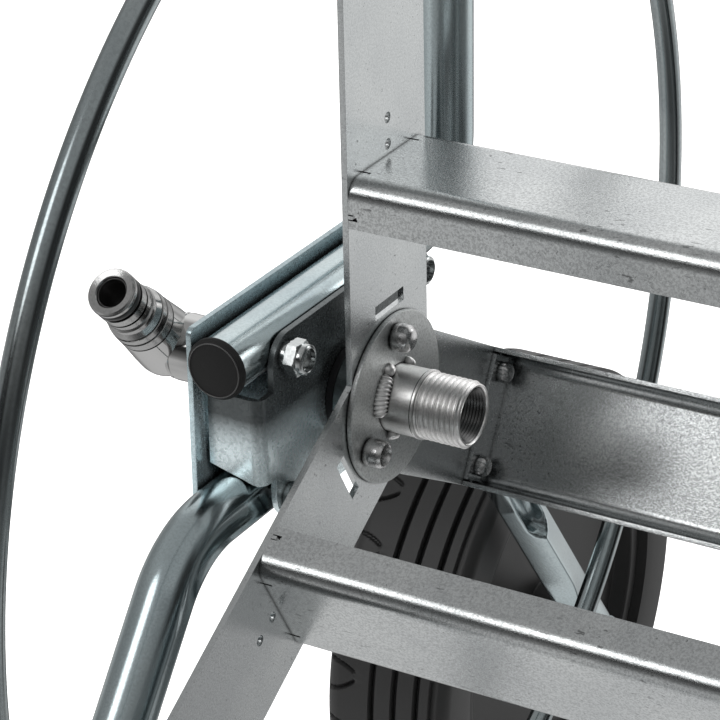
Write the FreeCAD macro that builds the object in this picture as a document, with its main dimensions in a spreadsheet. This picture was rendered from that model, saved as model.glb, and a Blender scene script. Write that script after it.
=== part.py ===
import FreeCAD, Part
import math
import os
import Sketcher
from FreeCAD import Placement, Rotation, Vector

# A mobile hose reel: a zinc-plated sheet and tube cart with a 1/2 inch swivel inlet.
# Millimetres. +X runs along the drum axis from the inlet side to the crank side,
# +Y to the back, where the wheels are, and +Z up.
# The origin is the middle of the drum on its axis. The left half is drawn;
# the right half of the frame is its mirror image.

DIMENSIONS = [
    ("drum_width", 260.0, "between the inner faces of the two spiders"),
    ("drum_turn", 0.5, "degrees the drum stands turned at rest"),
    ("rim_radius", 203.2, "centre of the rim rod"),
    ("rim_rod", 8.0, "diameter of the rim rod"),
    ("arm_width", 46.0, "flat spider arm"),
    ("sheet", 2.0, "sheet of arms and plates"),
    ("core_radius", 79.1, "outer face of the core channels"),
    ("core_sheet", 1.5, "sheet of the core channels"),
    ("flange_depth", 14.6, "channel flange, outer face to free edge"),
    ("channel_bend", 6.0, "outer bend radius of the channels"),
    ("tab_neck", 28.0, "neck of a channel's end tab, between its relief slits"),
    ("notch_width", 0.8, "relief slits in the channels"),
    ("notch_depth", 2.8, "relief slits in the channels"),
    ("tab_rivet_radius", 70.6, "rivets of the channel tabs from the axis"),
    ("tab_rivet_spread", 15.6, "rivets of the channel tabs off the arm's centre line"),
    ("rivet_shank", 4.0, "diameter"),
    ("rivet_bulb", 6.5, "diameter of a set blind rivet's bulb"),
    ("rivet_bulb_rise", 3.2, "height of the bulb"),
    ("rivet_head", 8.0, "diameter of the flange head"),
    ("disc_diameter", 54.4, "hub disc"),
    ("disc_sheet", 1.8, "hub disc"),
    ("hub_rivet_radius", 20.6, "hub rivets from the axis"),
    ("slot_radius", 31.0, "tangential slot in each arm, from the axis"),
    ("slot_length", 17.0, "tangential slot"),
    ("slot_width", 4.5, "tangential slot"),
    ("spare_hole", 3.4, "diameter of the two spare holes outboard of a channel"),
    ("shaft_diameter", 21.3, "1/2 inch pipe"),
    ("thread_diameter", 20.955, "G 1/2 major diameter"),
    ("thread_length", 15.5, "threaded end inside the drum"),
    ("nipple_reach", 28.7, "nipple end from the spider's inner face"),
    ("shaft_bore", 17.0, "water way of the pipe"),
    ("spigot_diameter", 17.0, "turned-down end that carries the swivel"),
    ("spigot_bore", 11.0, "water way of the spigot"),
    ("running_gap", 0.05, "radial clearance of shafts in their bearings"),
    ("end_gap", 0.3, "axial clearance between turning parts"),
    ("hub_gap", 15.0, "spider's inner face to the inner plate"),
    ("tube_diameter", 18.0, "frame tube"),
    ("tube_wall", 1.5, "frame tube"),
    ("plate_front", 55.5, "outer plate, axis to front edge"),
    ("plate_top", 37.3, "outer plate, axis to top edge"),
    ("plate_foot", 28.0, "plates, axis to lower edge"),
    ("inner_front", 43.0, "inner plate, axis to front edge"),
    ("inner_top", 32.5, "inner plate, axis to top edge"),
    ("plate_corner", 9.0, "corner radius of the inner plate"),
    ("outer_corner", 2.5, "corner radius of the outer plate"),
    ("web_front", 50.5, "folded web, axis to its front face"),
    ("web_top", 16.0, "folded web, axis to its top edge"),
    ("web_foot", 12.4, "folded web, axis to its lower edge"),
    ("web_bend", 4.0, "outer bend radius of the folded web"),
    ("web_trim", 4.5, "folded web, how far its lower edge rises to its free end"),
    ("bolt_reach", 36.2, "frame bolts, axis to bolt along Y"),
    ("upper_bolt", 25.8, "upper frame bolts above the axis"),
    ("run_height", 27.2, "handle tube's lower run above the axis"),
    ("lower_bolt", 21.0, "lower frame bolts below the axis"),
    ("bolt_diameter", 6.0, "M6"),
    ("bolt_hole", 6.6, "clearance hole for M6"),
    ("nut_width", 10.0, "M6 across flats"),
    ("nut_length", 8.4, "M6 lock nut with its washer face"),
    ("bolt_head_length", 4.0, "M6"),
    ("bush_diameter", 24.0, "plain bearing through both plates"),
    ("bush_flange", 28.4, "flange of the plain bearing"),
    ("bush_flange_length", 2.5, "flange of the plain bearing"),
    ("ring_nut_diameter", 30.0, "nut that clamps the bearing"),
    ("handle_back", 83.0, "uprights behind the axis"),
    ("handle_top", 560.0, "grip bar above the axis"),
    ("handle_bend", 26.0, "centre-line radius, run to upright"),
    ("handle_corner", 60.0, "centre-line radius at the grip bar"),
    ("grip_length", 190.0, "foam grip"),
    ("grip_diameter", 29.0, "foam grip"),
    ("cap_length", 2.2, "tube cap in front of the tube end"),
    ("leg_knee", 78.5, "front leg's bend before the axis"),
    ("leg_bend", 36.0, "centre-line radius of the front leg's upper bend"),
    ("leg_corner", 55.0, "centre-line radius at the floor bar"),
    ("foot_front", 286.0, "floor bar before the axis"),
    ("strut_diameter", 16.0, "rear strut tube"),
    ("strut_wall", 1.5, "rear strut tube"),
    ("strut_knee", 70.0, "rear strut's bend behind the axis"),
    ("strut_bend", 30.0, "centre-line radius of the rear strut's bend"),
    ("crush", 6.0, "thickness of the flattened tube end on the axle"),
    ("crush_length", 70.0, "rear strut, stretch that is hammered thinner"),
    ("ear_width", 1.8, "slot between a channel's flange and its end tab"),
    ("dent_reach", 24.0, "front leg, knee to the end of the pressed groove"),
    ("strut_dent_reach", 116.0, "rear strut, the same"),
    ("nose_reach", 8.0, "rear strut, axle to the middle of the tongue's round nose"),
    ("axle_back", 199.0, "wheel axle behind the drum axis"),
    ("axle_drop", 194.5, "wheel axle below the drum axis"),
    ("axle_diameter", 12.0, "wheel axle"),
    ("wheel_diameter", 200.0, "wheel"),
    ("wheel_width", 50.0, "tyre"),
    ("rib_pitch", 9.6, "between the tread grooves"),
    ("wheel_offset", 63.0, "wheel centre outside the spider"),
    ("hub_length", 54.0, "wheel hub"),
    ("hub_diameter", 30.0, "wheel hub"),
    ("rim_diameter", 148.0, "wheel rim under the tyre"),
    ("sleeve_wall", 2.0, "rubber foot sleeve on the floor bar"),
    ("sleeve_length", 46.0, "rubber foot sleeve"),
    ("swivel_reach", 81.5, "swivel elbow's centre outside the spider's inner face"),
    ("plug_reach", 41.3, "swivel elbow's centre to the plug's end"),
    ("plug_nose", 16.0, "quick-connect plug"),
    ("plug_bore", 9.4, "water way of the plug"),
    ("crank_length", 115.0, "crank arm, axis to knob"),
    ("crank_width", 25.0, "crank arm"),
    ("crank_sheet", 5.0, "crank arm"),
    ("knob_length", 88.0, "crank knob"),
    ("knob_diameter", 30.0, "crank knob"),
    ("knob_pin", 8.0, "diameter of the knob's pin"),
]

doc = FreeCAD.newDocument("HoseReel")
sheet = doc.addObject("Spreadsheet::Sheet", "Dims")


class Size:
    """A number together with the sheet expression that gives it."""

    def __init__(self, value, text):
        self.value = value
        self.text = text

    def _with(self, other, sign, swap=False):
        other = size(other)
        first, second = (other, self) if swap else (self, other)
        a, b = first.value, second.value
        value = {"+": lambda: a + b, "-": lambda: a - b, "*": lambda: a * b, "/": lambda: a / b}[sign]()
        return Size(value, "(%s %s %s)" % (first.text, sign, second.text))

    def __add__(self, other):
        return self._with(other, "+")

    def __radd__(self, other):
        return self._with(other, "+", True)

    def __sub__(self, other):
        return self._with(other, "-")

    def __rsub__(self, other):
        return self._with(other, "-", True)

    def __mul__(self, other):
        return self._with(other, "*")

    def __rmul__(self, other):
        return self._with(other, "*", True)

    def __truediv__(self, other):
        return self._with(other, "/")

    def __neg__(self):
        return Size(-self.value, "(-1 * %s)" % self.text)


def size(number):
    """A Size, also from a plain number."""
    return number if isinstance(number, Size) else Size(float(number), repr(float(number)))


class Dims:
    """The driving dimensions by name, each a Size."""


dims = Dims()
for row, (alias, value, meaning) in enumerate(DIMENSIONS, start=1):
    sheet.set("A%d" % row, meaning)
    sheet.set("B%d" % row, str(value))
    sheet.setAlias("B%d" % row, alias)
    setattr(dims, alias, Size(value, "Dims." + alias))
doc.recompute()

parts = {}


def keep(obj, name):
    """Register an object as a sub-part under its node name."""
    obj.Label = name
    parts[name] = obj
    return obj


def bind(obj, prop, value):
    """Set a numeric property and bind it to the sheet."""
    obj.setExpression(prop, size(value).text)


def place(obj, x=0, y=0, z=0, axis=Vector(0, 0, 1), angle=0):
    """Put an object somewhere, with its base bound to the sheet."""
    x, y, z = size(x), size(y), size(z)
    obj.Placement = Placement(Vector(x.value, y.value, z.value), Rotation(axis, angle))
    for letter, value in zip("xyz", (x, y, z)):
        bind(obj, "Placement.Base." + letter, value)
    return obj


# ---------------------------------------------------------------- primitives


def block(x, y, z, dx, dy, dz):
    """A box from its low corner."""
    box = doc.addObject("Part::Box", "Block")
    for prop, value in zip(("Length", "Width", "Height"), (dx, dy, dz)):
        setattr(box, prop, size(value).value)
        bind(box, prop, value)
    return place(box, x, y, z)


def rod(x, y, z, radius, length, axis="X"):
    """A cylinder that starts at a point and runs along an axis."""
    cylinder = doc.addObject("Part::Cylinder", "Rod")
    for prop, value in (("Radius", radius), ("Height", length)):
        setattr(cylinder, prop, size(value).value)
        bind(cylinder, prop, value)
    turn = {"X": (Vector(0, 1, 0), 90), "Y": (Vector(1, 0, 0), -90), "Z": (Vector(0, 0, 1), 0)}[axis]
    return place(cylinder, x, y, z, *turn)


def cone(x, y, z, radius1, radius2, length):
    """A truncated cone along X."""
    shape = doc.addObject("Part::Cone", "Cone")
    for prop, value in (("Radius1", radius1), ("Radius2", radius2), ("Height", length)):
        setattr(shape, prop, size(value).value)
        bind(shape, prop, value)
    return place(shape, x, y, z, Vector(0, 1, 0), 90)


def hoop(x, ring_radius, rod_radius):
    """A torus about the X axis."""
    torus = doc.addObject("Part::Torus", "Hoop")
    for prop, value in (("Radius1", ring_radius), ("Radius2", rod_radius)):
        setattr(torus, prop, size(value).value)
        bind(torus, prop, value)
    return place(torus, x, 0, 0, Vector(0, 1, 0), 90)


def hexagon(x, y, z, width, length):
    """A hexagonal prism along X, by its width across flats."""
    prism = doc.addObject("Part::Prism", "Hexagon")
    prism.Polygon = 6
    for prop, value in (("Circumradius", width / math.sqrt(3)), ("Height", length)):
        setattr(prism, prop, size(value).value)
        bind(prism, prop, value)
    return place(prism, x, y, z, Vector(0, 1, 0), 90)


def cut(base, *tools):
    for tool in tools:
        result = doc.addObject("Part::Cut", "Cut")
        result.Base, result.Tool = base, tool
        base = result
    return base


def fuse(*shapes):
    result = doc.addObject("Part::MultiFuse", "Fuse")
    result.Shapes = list(shapes)
    return result


def group(name, members):
    """Separate solids that share one node."""
    compound = doc.addObject("Part::Compound", "Group")
    compound.Links = list(members)
    return keep(compound, name)


def mirror(source, name):
    """The right-hand twin of a left-hand piece."""
    twin = doc.addObject("Part::Mirroring", "Twin")
    twin.Source = source
    twin.Normal = Vector(1, 0, 0)
    twin.Base = Vector(0, 0, 0)
    return keep(twin, name)


# ---------------------------------------------------------------- sketches


def new_body(name):
    return doc.addObject("PartDesign::Body", name)


def origin_plane(body, role):
    return next(f for f in body.Origin.OriginFeatures if f.Role == role)


def outline(body, role, points, offset=0, rounds=None):
    """A closed sketch through (x, y) points, each held to the sheet.

    An entry of the dictionary rounds, by the index of an edge's first point,
    makes that edge an arc: its radius, positive where it bulges to the right of the way.
    """
    rounds = rounds or {}
    sketch = body.newObject("Sketcher::SketchObject", "Outline")
    sketch.AttachmentSupport = [(origin_plane(body, role), "")]
    sketch.MapMode = "FlatFace"
    sketch.AttachmentOffset = Placement(Vector(0, 0, size(offset).value), Rotation())
    bind(sketch, "AttachmentOffset.Base.z", offset)
    points = [(size(x), size(y)) for x, y in points]
    corners = [Vector(x.value, y.value, 0) for x, y in points]
    ends = []
    for i, start in enumerate(corners):
        stop = corners[(i + 1) % len(corners)]
        if i not in rounds:
            sketch.addGeometry(Part.LineSegment(start, stop))
            ends.append((1, 2))
            continue
        bulge = size(rounds[i]).value
        chord = stop - start
        side = Vector(chord.y, -chord.x, 0).normalize() * math.copysign(1, bulge)
        sagitta = abs(bulge) - math.sqrt(max(bulge * bulge - chord.Length ** 2 / 4, 0))
        middle = (start + stop) * 0.5 + side * sagitta
        arc = Part.Arc(start, middle, stop)
        circle = arc.toShape().Curve
        sketch.addGeometry(Part.ArcOfCircle(circle, *_angles(circle.Center, start, stop, middle)))
        ends.append((1, 2) if _runs_left(start, middle, stop) else (2, 1))
    for i, (x, y) in enumerate(points):
        previous = (i - 1) % len(points)
        sketch.addConstraint(Sketcher.Constraint("Coincident", previous, ends[previous][1], i, ends[i][0]))
    for i, (x, y) in enumerate(points):
        for kind, value in (("DistanceX", x), ("DistanceY", y)):
            if abs(value.value) < 1e-9:
                axis = -2 if kind == "DistanceX" else -1
                sketch.addConstraint(Sketcher.Constraint("PointOnObject", i, ends[i][0], axis))
                continue
            n = sketch.addConstraint(Sketcher.Constraint(kind, -1, 1, i, ends[i][0], value.value))
            sketch.setExpression("Constraints[%d]" % n, value.text)
    for i, radius in rounds.items():
        n = sketch.addConstraint(Sketcher.Constraint("Radius", i, abs(size(radius).value)))
        radius = size(radius)
        sketch.setExpression("Constraints[%d]" % n, radius.text if radius.value > 0 else (-radius).text)
    return sketch


def _runs_left(start, middle, stop):
    """Whether an arc through three points turns anticlockwise."""
    return (middle - start).cross(stop - start).z > 0


def _angles(center, start, stop, middle):
    """Start and end angles of the anticlockwise arc through three points."""
    first, last = (start, stop) if _runs_left(start, middle, stop) else (stop, start)
    a = math.atan2(first.y - center.y, first.x - center.x)
    b = math.atan2(last.y - center.y, last.x - center.x)
    return a, b if b > a else b + 2 * math.pi


def circles(body, role, holes, offset=0):
    """A sketch of round holes: (x, y, diameter) each."""
    sketch = body.newObject("Sketcher::SketchObject", "Holes")
    sketch.AttachmentSupport = [(origin_plane(body, role), "")]
    sketch.MapMode = "FlatFace"
    sketch.AttachmentOffset = Placement(Vector(0, 0, size(offset).value), Rotation())
    bind(sketch, "AttachmentOffset.Base.z", offset)
    for i, (x, y, diameter) in enumerate(holes):
        x, y, diameter = size(x), size(y), size(diameter)
        center = Vector(x.value, y.value, 0)
        sketch.addGeometry(Part.Circle(center, Vector(0, 0, 1), diameter.value / 2))
        n = sketch.addConstraint(Sketcher.Constraint("Diameter", i, diameter.value))
        sketch.setExpression("Constraints[%d]" % n, diameter.text)
        for kind, value in (("DistanceX", x), ("DistanceY", y)):
            if abs(value.value) < 1e-9:
                axis = -2 if kind == "DistanceX" else -1
                sketch.addConstraint(Sketcher.Constraint("PointOnObject", i, 3, axis))
                continue
            n = sketch.addConstraint(Sketcher.Constraint(kind, -1, 1, i, 3, value.value))
            sketch.setExpression("Constraints[%d]" % n, value.text)
    return sketch


def pad(body, sketch, length):
    feature = body.newObject("PartDesign::Pad", "Pad")
    feature.Profile = sketch
    feature.Length = size(length).value
    bind(feature, "Length", length)
    doc.recompute()
    return feature


def pocket(body, sketch):
    """Cut a sketch right through the body, both ways."""
    doc.recompute()
    before = body.Shape.Volume
    feature = body.newObject("PartDesign::Pocket", "Pocket")
    feature.Profile = sketch
    feature.Type = "ThroughAll"
    feature.Midplane = True
    doc.recompute()
    if body.Shape.Volume > before - 1e-6:
        raise RuntimeError("a pocket of %s cuts nothing" % body.Label)
    return feature


def revolve(body, sketch):
    feature = body.newObject("PartDesign::Revolution", "Revolution")
    feature.Profile = sketch
    feature.ReferenceAxis = (sketch, ["H_Axis"])
    feature.Angle = 360
    doc.recompute()
    return feature


def bend_edges(body, radius, chosen):
    """PartDesign fillet on the edges of the body's tip that pass a test."""
    base = body.Tip
    names = ["Edge%d" % i for i, edge in enumerate(base.Shape.Edges, start=1) if chosen(edge)]
    if not names:
        raise RuntimeError("no edge to round on %s" % body.Label)
    feature = body.newObject("PartDesign::Fillet", "Bend")
    feature.Base = (base, names)
    feature.Radius = size(radius).value
    bind(feature, "Radius", radius)
    doc.recompute()
    return feature


def lathe(name, profile, x=0, y=0, z=0, rounds=None):
    """A turned piece about an axis along X, from its (axial, radial) profile."""
    body = new_body(name)
    revolve(body, outline(body, "XZ_Plane", profile, 0, rounds))
    place(body, x, y, z)
    return keep(body, name)


def runs_along_x(edge):
    a, b = edge.firstVertex().Point, edge.lastVertex().Point
    return abs(abs(a.x - b.x) - edge.Length) < 1e-6


# ---------------------------------------------------------------- drum

face = -dims.drum_width / 2               # inner face of the left spider
shaft_r = dims.shaft_diameter / 2
half_arm = dims.arm_width / 2
spokes = {"up": 0.0, "front": 120.0, "rear": 240.0}


def turned(obj, name, angle, x=0):
    """Stand a piece drawn on the upright arm round the drum axis."""
    turn = size(angle) + dims.drum_turn
    obj.Placement = Placement(Vector(size(x).value, 0, 0), Rotation(Vector(1, 0, 0), turn.value))
    bind(obj, "Placement.Base.x", x)
    bind(obj, "Placement.Rotation.Axis.x", 1)
    bind(obj, "Placement.Rotation.Angle", turn)
    return keep(obj, name)


def spider_arm(name, angle, x):
    """Flat arm, mitred against its two neighbours and ending on the rim rod."""
    body = new_body(name)
    mitre = half_arm / math.sqrt(3)
    end = dims.rim_radius - dims.rim_rod / 2
    chord = "sqrt((%s) ^ 2 - (%s) ^ 2)" % (end.text, half_arm.text)
    reach = Size(math.sqrt(end.value ** 2 - half_arm.value ** 2), chord)
    sketch = outline(body, "YZ_Plane", [(0, 0), (half_arm, mitre), (half_arm, reach), (-half_arm, reach),
                                       (-half_arm, mitre)], rounds={2: end})
    pad(body, sketch, dims.sheet)
    slot_end = dims.slot_length / 2
    low, high = dims.slot_radius - dims.slot_width / 2, dims.slot_radius + dims.slot_width / 2
    slot = [(-slot_end, low), (slot_end, low), (slot_end, high), (-slot_end, high)]
    pocket(body, outline(body, "YZ_Plane", slot))
    holes = [(0, 0, dims.shaft_diameter), (0.8, 82.3, dims.spare_hole), (0.8, 90.6, dims.spare_hole),
             (0, dims.hub_rivet_radius, dims.rivet_shank)]
    holes += [(side * dims.tab_rivet_spread, dims.tab_rivet_radius, dims.rivet_shank) for side in (-1, 1)]
    pocket(body, circles(body, "YZ_Plane", holes))
    return turned(body, name, angle, x)


def core_channel(name, angle):
    """C-section across the drum, its web outwards, with a riveted tab folded in at each end."""
    body = new_body(name)
    outer, edge = dims.core_radius, dims.core_radius - dims.flange_depth
    wall = dims.core_sheet
    section = [(-half_arm, edge), (-half_arm, outer), (half_arm, outer), (half_arm, edge),
               (half_arm - wall, edge), (half_arm - wall, outer - wall),
               (-half_arm + wall, outer - wall), (-half_arm + wall, edge)]
    sketch = outline(body, "YZ_Plane", section, offset=face)
    pad(body, sketch, dims.drum_width)
    for radius, level in ((dims.channel_bend, outer), (dims.channel_bend - wall, outer - wall)):
        height = level.value
        bend_edges(body, radius, lambda e: runs_along_x(e) and abs(e.firstVertex().Point.z - height) < 1e-6)
    neck, cheek = dims.tab_neck / 2, half_arm - wall - 0.7
    ear_low = edge + 2.6
    ear_high = ear_low + dims.ear_width
    for side in (-1, 1):
        mouth = side * dims.drum_width / 2
        inside = mouth - side * dims.notch_depth
        for flank in (-1, 1):
            near, far = flank * neck, flank * (neck + dims.notch_width)
            relief = [(inside, near), (mouth, near), (mouth, far), (inside, far)]
            pocket(body, outline(body, "XY_Plane", relief))
        inside = mouth - side * 2 * wall
        ear = [(inside, ear_low), (mouth, ear_low), (mouth, ear_high), (inside, ear_high)]
        pocket(body, outline(body, "XZ_Plane", ear))
        half_tab = [(neck, outer - wall), (neck, outer - 4.6), (cheek, outer - 4.6), (cheek, ear_high - 0.3),
                    (half_arm, ear_high - 0.3), (half_arm, ear_low + 0.3), (cheek, ear_low + 0.3),
                    (cheek, edge)]
        tab = half_tab + [(-size(y), z) for y, z in reversed(half_tab)]
        start = mouth if side < 0 else mouth - wall
        pad(body, outline(body, "YZ_Plane", tab, offset=start), wall)
    rivet_y, rivet_z = dims.tab_rivet_spread, dims.tab_rivet_radius
    pocket(body, circles(body, "YZ_Plane", [(way * rivet_y, rivet_z, dims.rivet_shank) for way in (-1, 1)]))
    return turned(body, name, angle)


def rivet(x, y, z, grip, inward):
    """A set blind rivet along X: flange head outside, bulb inside. inward is +1 or -1."""
    shank = rod(x, y, z, dims.rivet_shank / 2, grip)
    bulb_rise, bulb_r = dims.rivet_bulb_rise, dims.rivet_bulb / 2
    head_rise = dims.rivet_shank / 4
    if inward > 0:
        bulb = rod(x + grip, y, z, bulb_r, bulb_rise * 0.45)
        crown = cone(x + grip + bulb_rise * 0.45, y, z, bulb_r, bulb_r * 0.55, bulb_rise * 0.55)
        head = cone(x - head_rise, y, z, dims.rivet_head * 0.32, dims.rivet_head / 2, head_rise)
    else:
        bulb = rod(x - bulb_rise * 0.45, y, z, bulb_r, bulb_rise * 0.45)
        crown = cone(x - bulb_rise, y, z, bulb_r * 0.55, bulb_r, bulb_rise * 0.55)
        head = cone(x + grip, y, z, dims.rivet_head / 2, dims.rivet_head * 0.32, head_rise)
    return fuse(shank, bulb, crown, head)


def polar(y, z, angle):
    """Position after a turn about X, for rivets that follow the arms."""
    a = math.radians(angle)
    turn = Size(angle, repr(angle)) + dims.drum_turn
    radians = math.radians(turn.value)
    cosine = Size(math.cos(radians), "cos(%s)" % turn.text)
    sine = Size(math.sin(radians), "sin(%s)" % turn.text)
    y, z = size(y), size(z)
    return y * cosine - z * sine, y * sine + z * cosine


def rivets(side_name, inward):
    """The rivets of one spider: two per channel tab and one per arm at the hub disc."""
    plate = face - dims.sheet if inward > 0 else -face
    disc_plate = plate if inward > 0 else -face - dims.disc_sheet
    tab_plate = plate if inward > 0 else -face - dims.core_sheet
    tab, hub = [], []
    for angle in spokes.values():
        for flank in (-1, 1):
            y, z = polar(flank * dims.tab_rivet_spread, dims.tab_rivet_radius, angle)
            tab.append(rivet(tab_plate, y, z, dims.sheet + dims.core_sheet, inward))
        y, z = polar(0, dims.hub_rivet_radius, angle)
        hub.append(rivet(disc_plate, y, z, dims.sheet + dims.disc_sheet, inward))
    group("channel_rivets_" + side_name, tab)
    group("hub_rivets_" + side_name, hub)


def hub_disc(name, x):
    holes = []
    for angle in spokes.values():
        y, z = polar(0, dims.hub_rivet_radius, angle)
        holes.append(rod(x, y, z, dims.rivet_shank / 2, dims.disc_sheet))
    disc = rod(x, 0, 0, dims.disc_diameter / 2, dims.disc_sheet)
    return keep(cut(disc, rod(x, 0, 0, shaft_r, dims.disc_sheet), *holes), name)


for side, x in (("left", face - dims.sheet), ("right", -face)):
    for spoke, angle in spokes.items():
        spider_arm("arm_%s_%s" % (side, spoke), angle, x)
for spoke, angle in spokes.items():
    core_channel("core_channel_" + spoke, angle)
rivets("left", 1)
rivets("right", -1)
hub_disc("hub_disc_left", face)
hub_disc("hub_disc_right", -face - dims.disc_sheet)
rim_middle = dims.sheet / 2
keep(hoop(face - rim_middle, dims.rim_radius, dims.rim_rod / 2), "rim_ring_left")
keep(hoop(-face + rim_middle, dims.rim_radius, dims.rim_rod / 2), "rim_ring_right")

# The inlet shaft: pipe from the swivel spigot, through the bearing, to the threaded nipple.
plate_inside = face - dims.hub_gap                  # inner plate, face towards the drum
plate_gap_in = plate_inside - dims.sheet            # inner plate, face towards the tubes
plate_gap_out = plate_gap_in - dims.tube_diameter   # outer plate, face towards the tubes
plate_outside = plate_gap_out - dims.sheet          # outer plate, outer face
bush_end = plate_outside - 23.0
shoulder = bush_end - 0.5
spigot_end = face - dims.swivel_reach + 5.5
nipple_end = face + dims.nipple_reach
thread_start = nipple_end - dims.thread_length
spigot_r = dims.spigot_diameter / 2
clip_at = shoulder - 4.1                            # inner side of the swivel's circlip
ring_at = shoulder - 11.0                           # inner side of the O-ring groove
ring_width = 2.4
groove = 1.8
lathe("inlet_shaft", [
    (spigot_end, dims.spigot_bore / 2), (spigot_end, spigot_r - 0.5), (spigot_end + 0.5, spigot_r),
    (ring_at - ring_width, spigot_r), (ring_at - ring_width, spigot_r - groove),
    (ring_at, spigot_r - groove), (ring_at, spigot_r), (shoulder, spigot_r), (shoulder, shaft_r),
    (thread_start, shaft_r), (thread_start, dims.thread_diameter / 2),
    (nipple_end - 1.0, dims.thread_diameter / 2), (nipple_end, dims.thread_diameter / 2 - 1.0),
    (nipple_end, dims.shaft_bore / 2), (shoulder + 4.0, dims.shaft_bore / 2),
    (shoulder + 1.0, dims.spigot_bore / 2)])
swivel_ring = hoop(ring_at - ring_width / 2, spigot_r - 0.9, 0.9)
keep(swivel_ring, "swivel_o_ring")
clip_thick = 1.2
clip_r = spigot_r + 1.4
clip_start = clip_at - clip_thick
clip = cut(rod(clip_start, 0, 0, clip_r, clip_thick), rod(clip_start, 0, 0, spigot_r, clip_thick))
keep(clip, "swivel_circlip")

# The crank shaft on the other side: a solid stub with a square end for the crank arm.
bush_end_right = -plate_outside + 5.5
crank_at = bush_end_right + 0.5
square = 14.0
stub = rod(-face - dims.disc_sheet, 0, 0, shaft_r, crank_at - (-face - dims.disc_sheet))
square_end = block(crank_at, -square / 2, -square / 2, dims.crank_sheet, square, square)
stub_bolt = rod(crank_at - 20, 0, 0, dims.knob_pin / 2, dims.crank_sheet + 20)
keep(cut(fuse(stub, square_end), stub_bolt), "crank_shaft")

sleeve_length = dims.hub_gap - dims.sheet - dims.bush_flange_length - dims.end_gap
for side, x in (("left", face - dims.sheet - sleeve_length), ("right", -face + dims.sheet)):
    sleeve = cut(rod(x, 0, 0, shaft_r + 4.0, sleeve_length), rod(x, 0, 0, shaft_r, sleeve_length))
    keep(sleeve, "spacer_sleeve_" + side)

# Crank arm: flat bar with round ends, hanging down from the square.
crank_out = crank_at + dims.crank_sheet
crank_r = dims.crank_width / 2
bar = fuse(rod(crank_at, 0, 0, crank_r + 3, dims.crank_sheet),
           block(crank_at, -crank_r, -dims.crank_length, dims.crank_sheet, dims.crank_width,
                 dims.crank_length),
           rod(crank_at, 0, -dims.crank_length, crank_r, dims.crank_sheet))
keep(cut(bar, block(crank_at, -square / 2, -square / 2, dims.crank_sheet, square, square),
         rod(crank_at, 0, -dims.crank_length, dims.knob_pin / 2, dims.crank_sheet)), "crank_arm")
washer = rod(crank_out, 0, 0, 11.0, 2.0)
head = hexagon(crank_out + 2.0, 0, 0, size(13.0), 5.5)
shank = rod(crank_out - dims.crank_sheet - 20, 0, 0, dims.knob_pin / 2, dims.crank_sheet + 22.0)
keep(fuse(washer, head, shank), "crank_bolt")

# Knob pin: riveted into the crank arm; the knob turns on it.
pin_end = crank_out + dims.end_gap + dims.knob_length
pin_r = dims.knob_pin / 2
pin_length = pin_end - crank_at + 2.0
pin = fuse(rod(crank_at - 2.0, 0, -dims.crank_length, pin_r, pin_length),
           rod(crank_at - 2.0, 0, -dims.crank_length, pin_r + 3.0, 2.0),
           rod(pin_end + dims.end_gap, 0, -dims.crank_length, pin_r + 4.0, 2.5))
pin = fuse(pin, rod(pin_end, 0, -dims.crank_length, pin_r, dims.end_gap + 1.0))
keep(pin, "knob_pin")
knob_r = dims.knob_diameter / 2
knob_start = crank_out + dims.end_gap
lathe("crank_knob", [
    (0, pin_r + dims.running_gap), (0, knob_r * 0.72), (4.0, knob_r * 0.8), (14.0, knob_r * 0.74),
    (dims.knob_length * 0.62, knob_r), (dims.knob_length - 7.0, knob_r * 0.94),
    (dims.knob_length, knob_r * 0.62), (dims.knob_length, pin_r + dims.running_gap)],
    knob_start, 0, -dims.crank_length, rounds={5: -9.0})

# ---------------------------------------------------------------- swivel inlet

elbow_at = face - dims.swivel_reach
branch_r = 9.7
ball_r = 11.2
nut_r = 11.8
lip = 2.0
nut_start = shoulder - 0.5
nut_end = nut_start - 10.6
chamber_r = 10.2
lathe("union_nut", [
    (nut_end, chamber_r), (nut_end, nut_r - 0.6), (nut_end + 0.6, nut_r), (nut_start - 0.6, nut_r),
    (nut_start, nut_r - 0.6), (nut_start, spigot_r + dims.running_gap + 0.01),
    (nut_start - lip, spigot_r + dims.running_gap + 0.01), (nut_start - lip, chamber_r)])
socket_start = clip_at - clip_thick - 0.5
bore_end = spigot_end - 0.5
collar = lathe("elbow_collar", [
    (elbow_at, 5.5), (elbow_at, 10.0), (nut_end, 10.0), (socket_start, 10.0),
    (socket_start, spigot_r + dims.running_gap), (bore_end, spigot_r + dims.running_gap), (bore_end, 5.5)])
del parts["elbow_collar"]
ball = doc.addObject("Part::Sphere", "Ball")
ball.Radius = ball_r
place(ball, elbow_at, 0, 0)
up_front = Rotation(Vector(1, 0, 0), 45)            # the branch points up and to the front


def along_branch(start, radius, length):
    """A cylinder on the branch's axis, from a distance off the elbow's centre."""
    shape = rod(elbow_at, 0, 0, radius, length)
    shape.Placement = Placement(shape.Placement.Base, up_front)
    offset = size(start).value * math.sqrt(0.5)
    shape.Placement.Base = shape.Placement.Base + Vector(0, -offset, offset)
    bind(shape, "Placement.Base.y", -size(start) * math.sqrt(0.5))
    bind(shape, "Placement.Base.z", size(start) * math.sqrt(0.5))
    return shape


plug_start = dims.plug_reach - 24.8
elbow = fuse(collar, ball, along_branch(0, branch_r, plug_start))
keep(cut(elbow, rod(elbow_at, 0, 0, 5.5, bore_end - elbow_at), along_branch(-3.0, 5.5, plug_start + 3.0),
         rod(bore_end, 0, 0, spigot_r + dims.running_gap, socket_start - bore_end)), "inlet_elbow")

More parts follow.
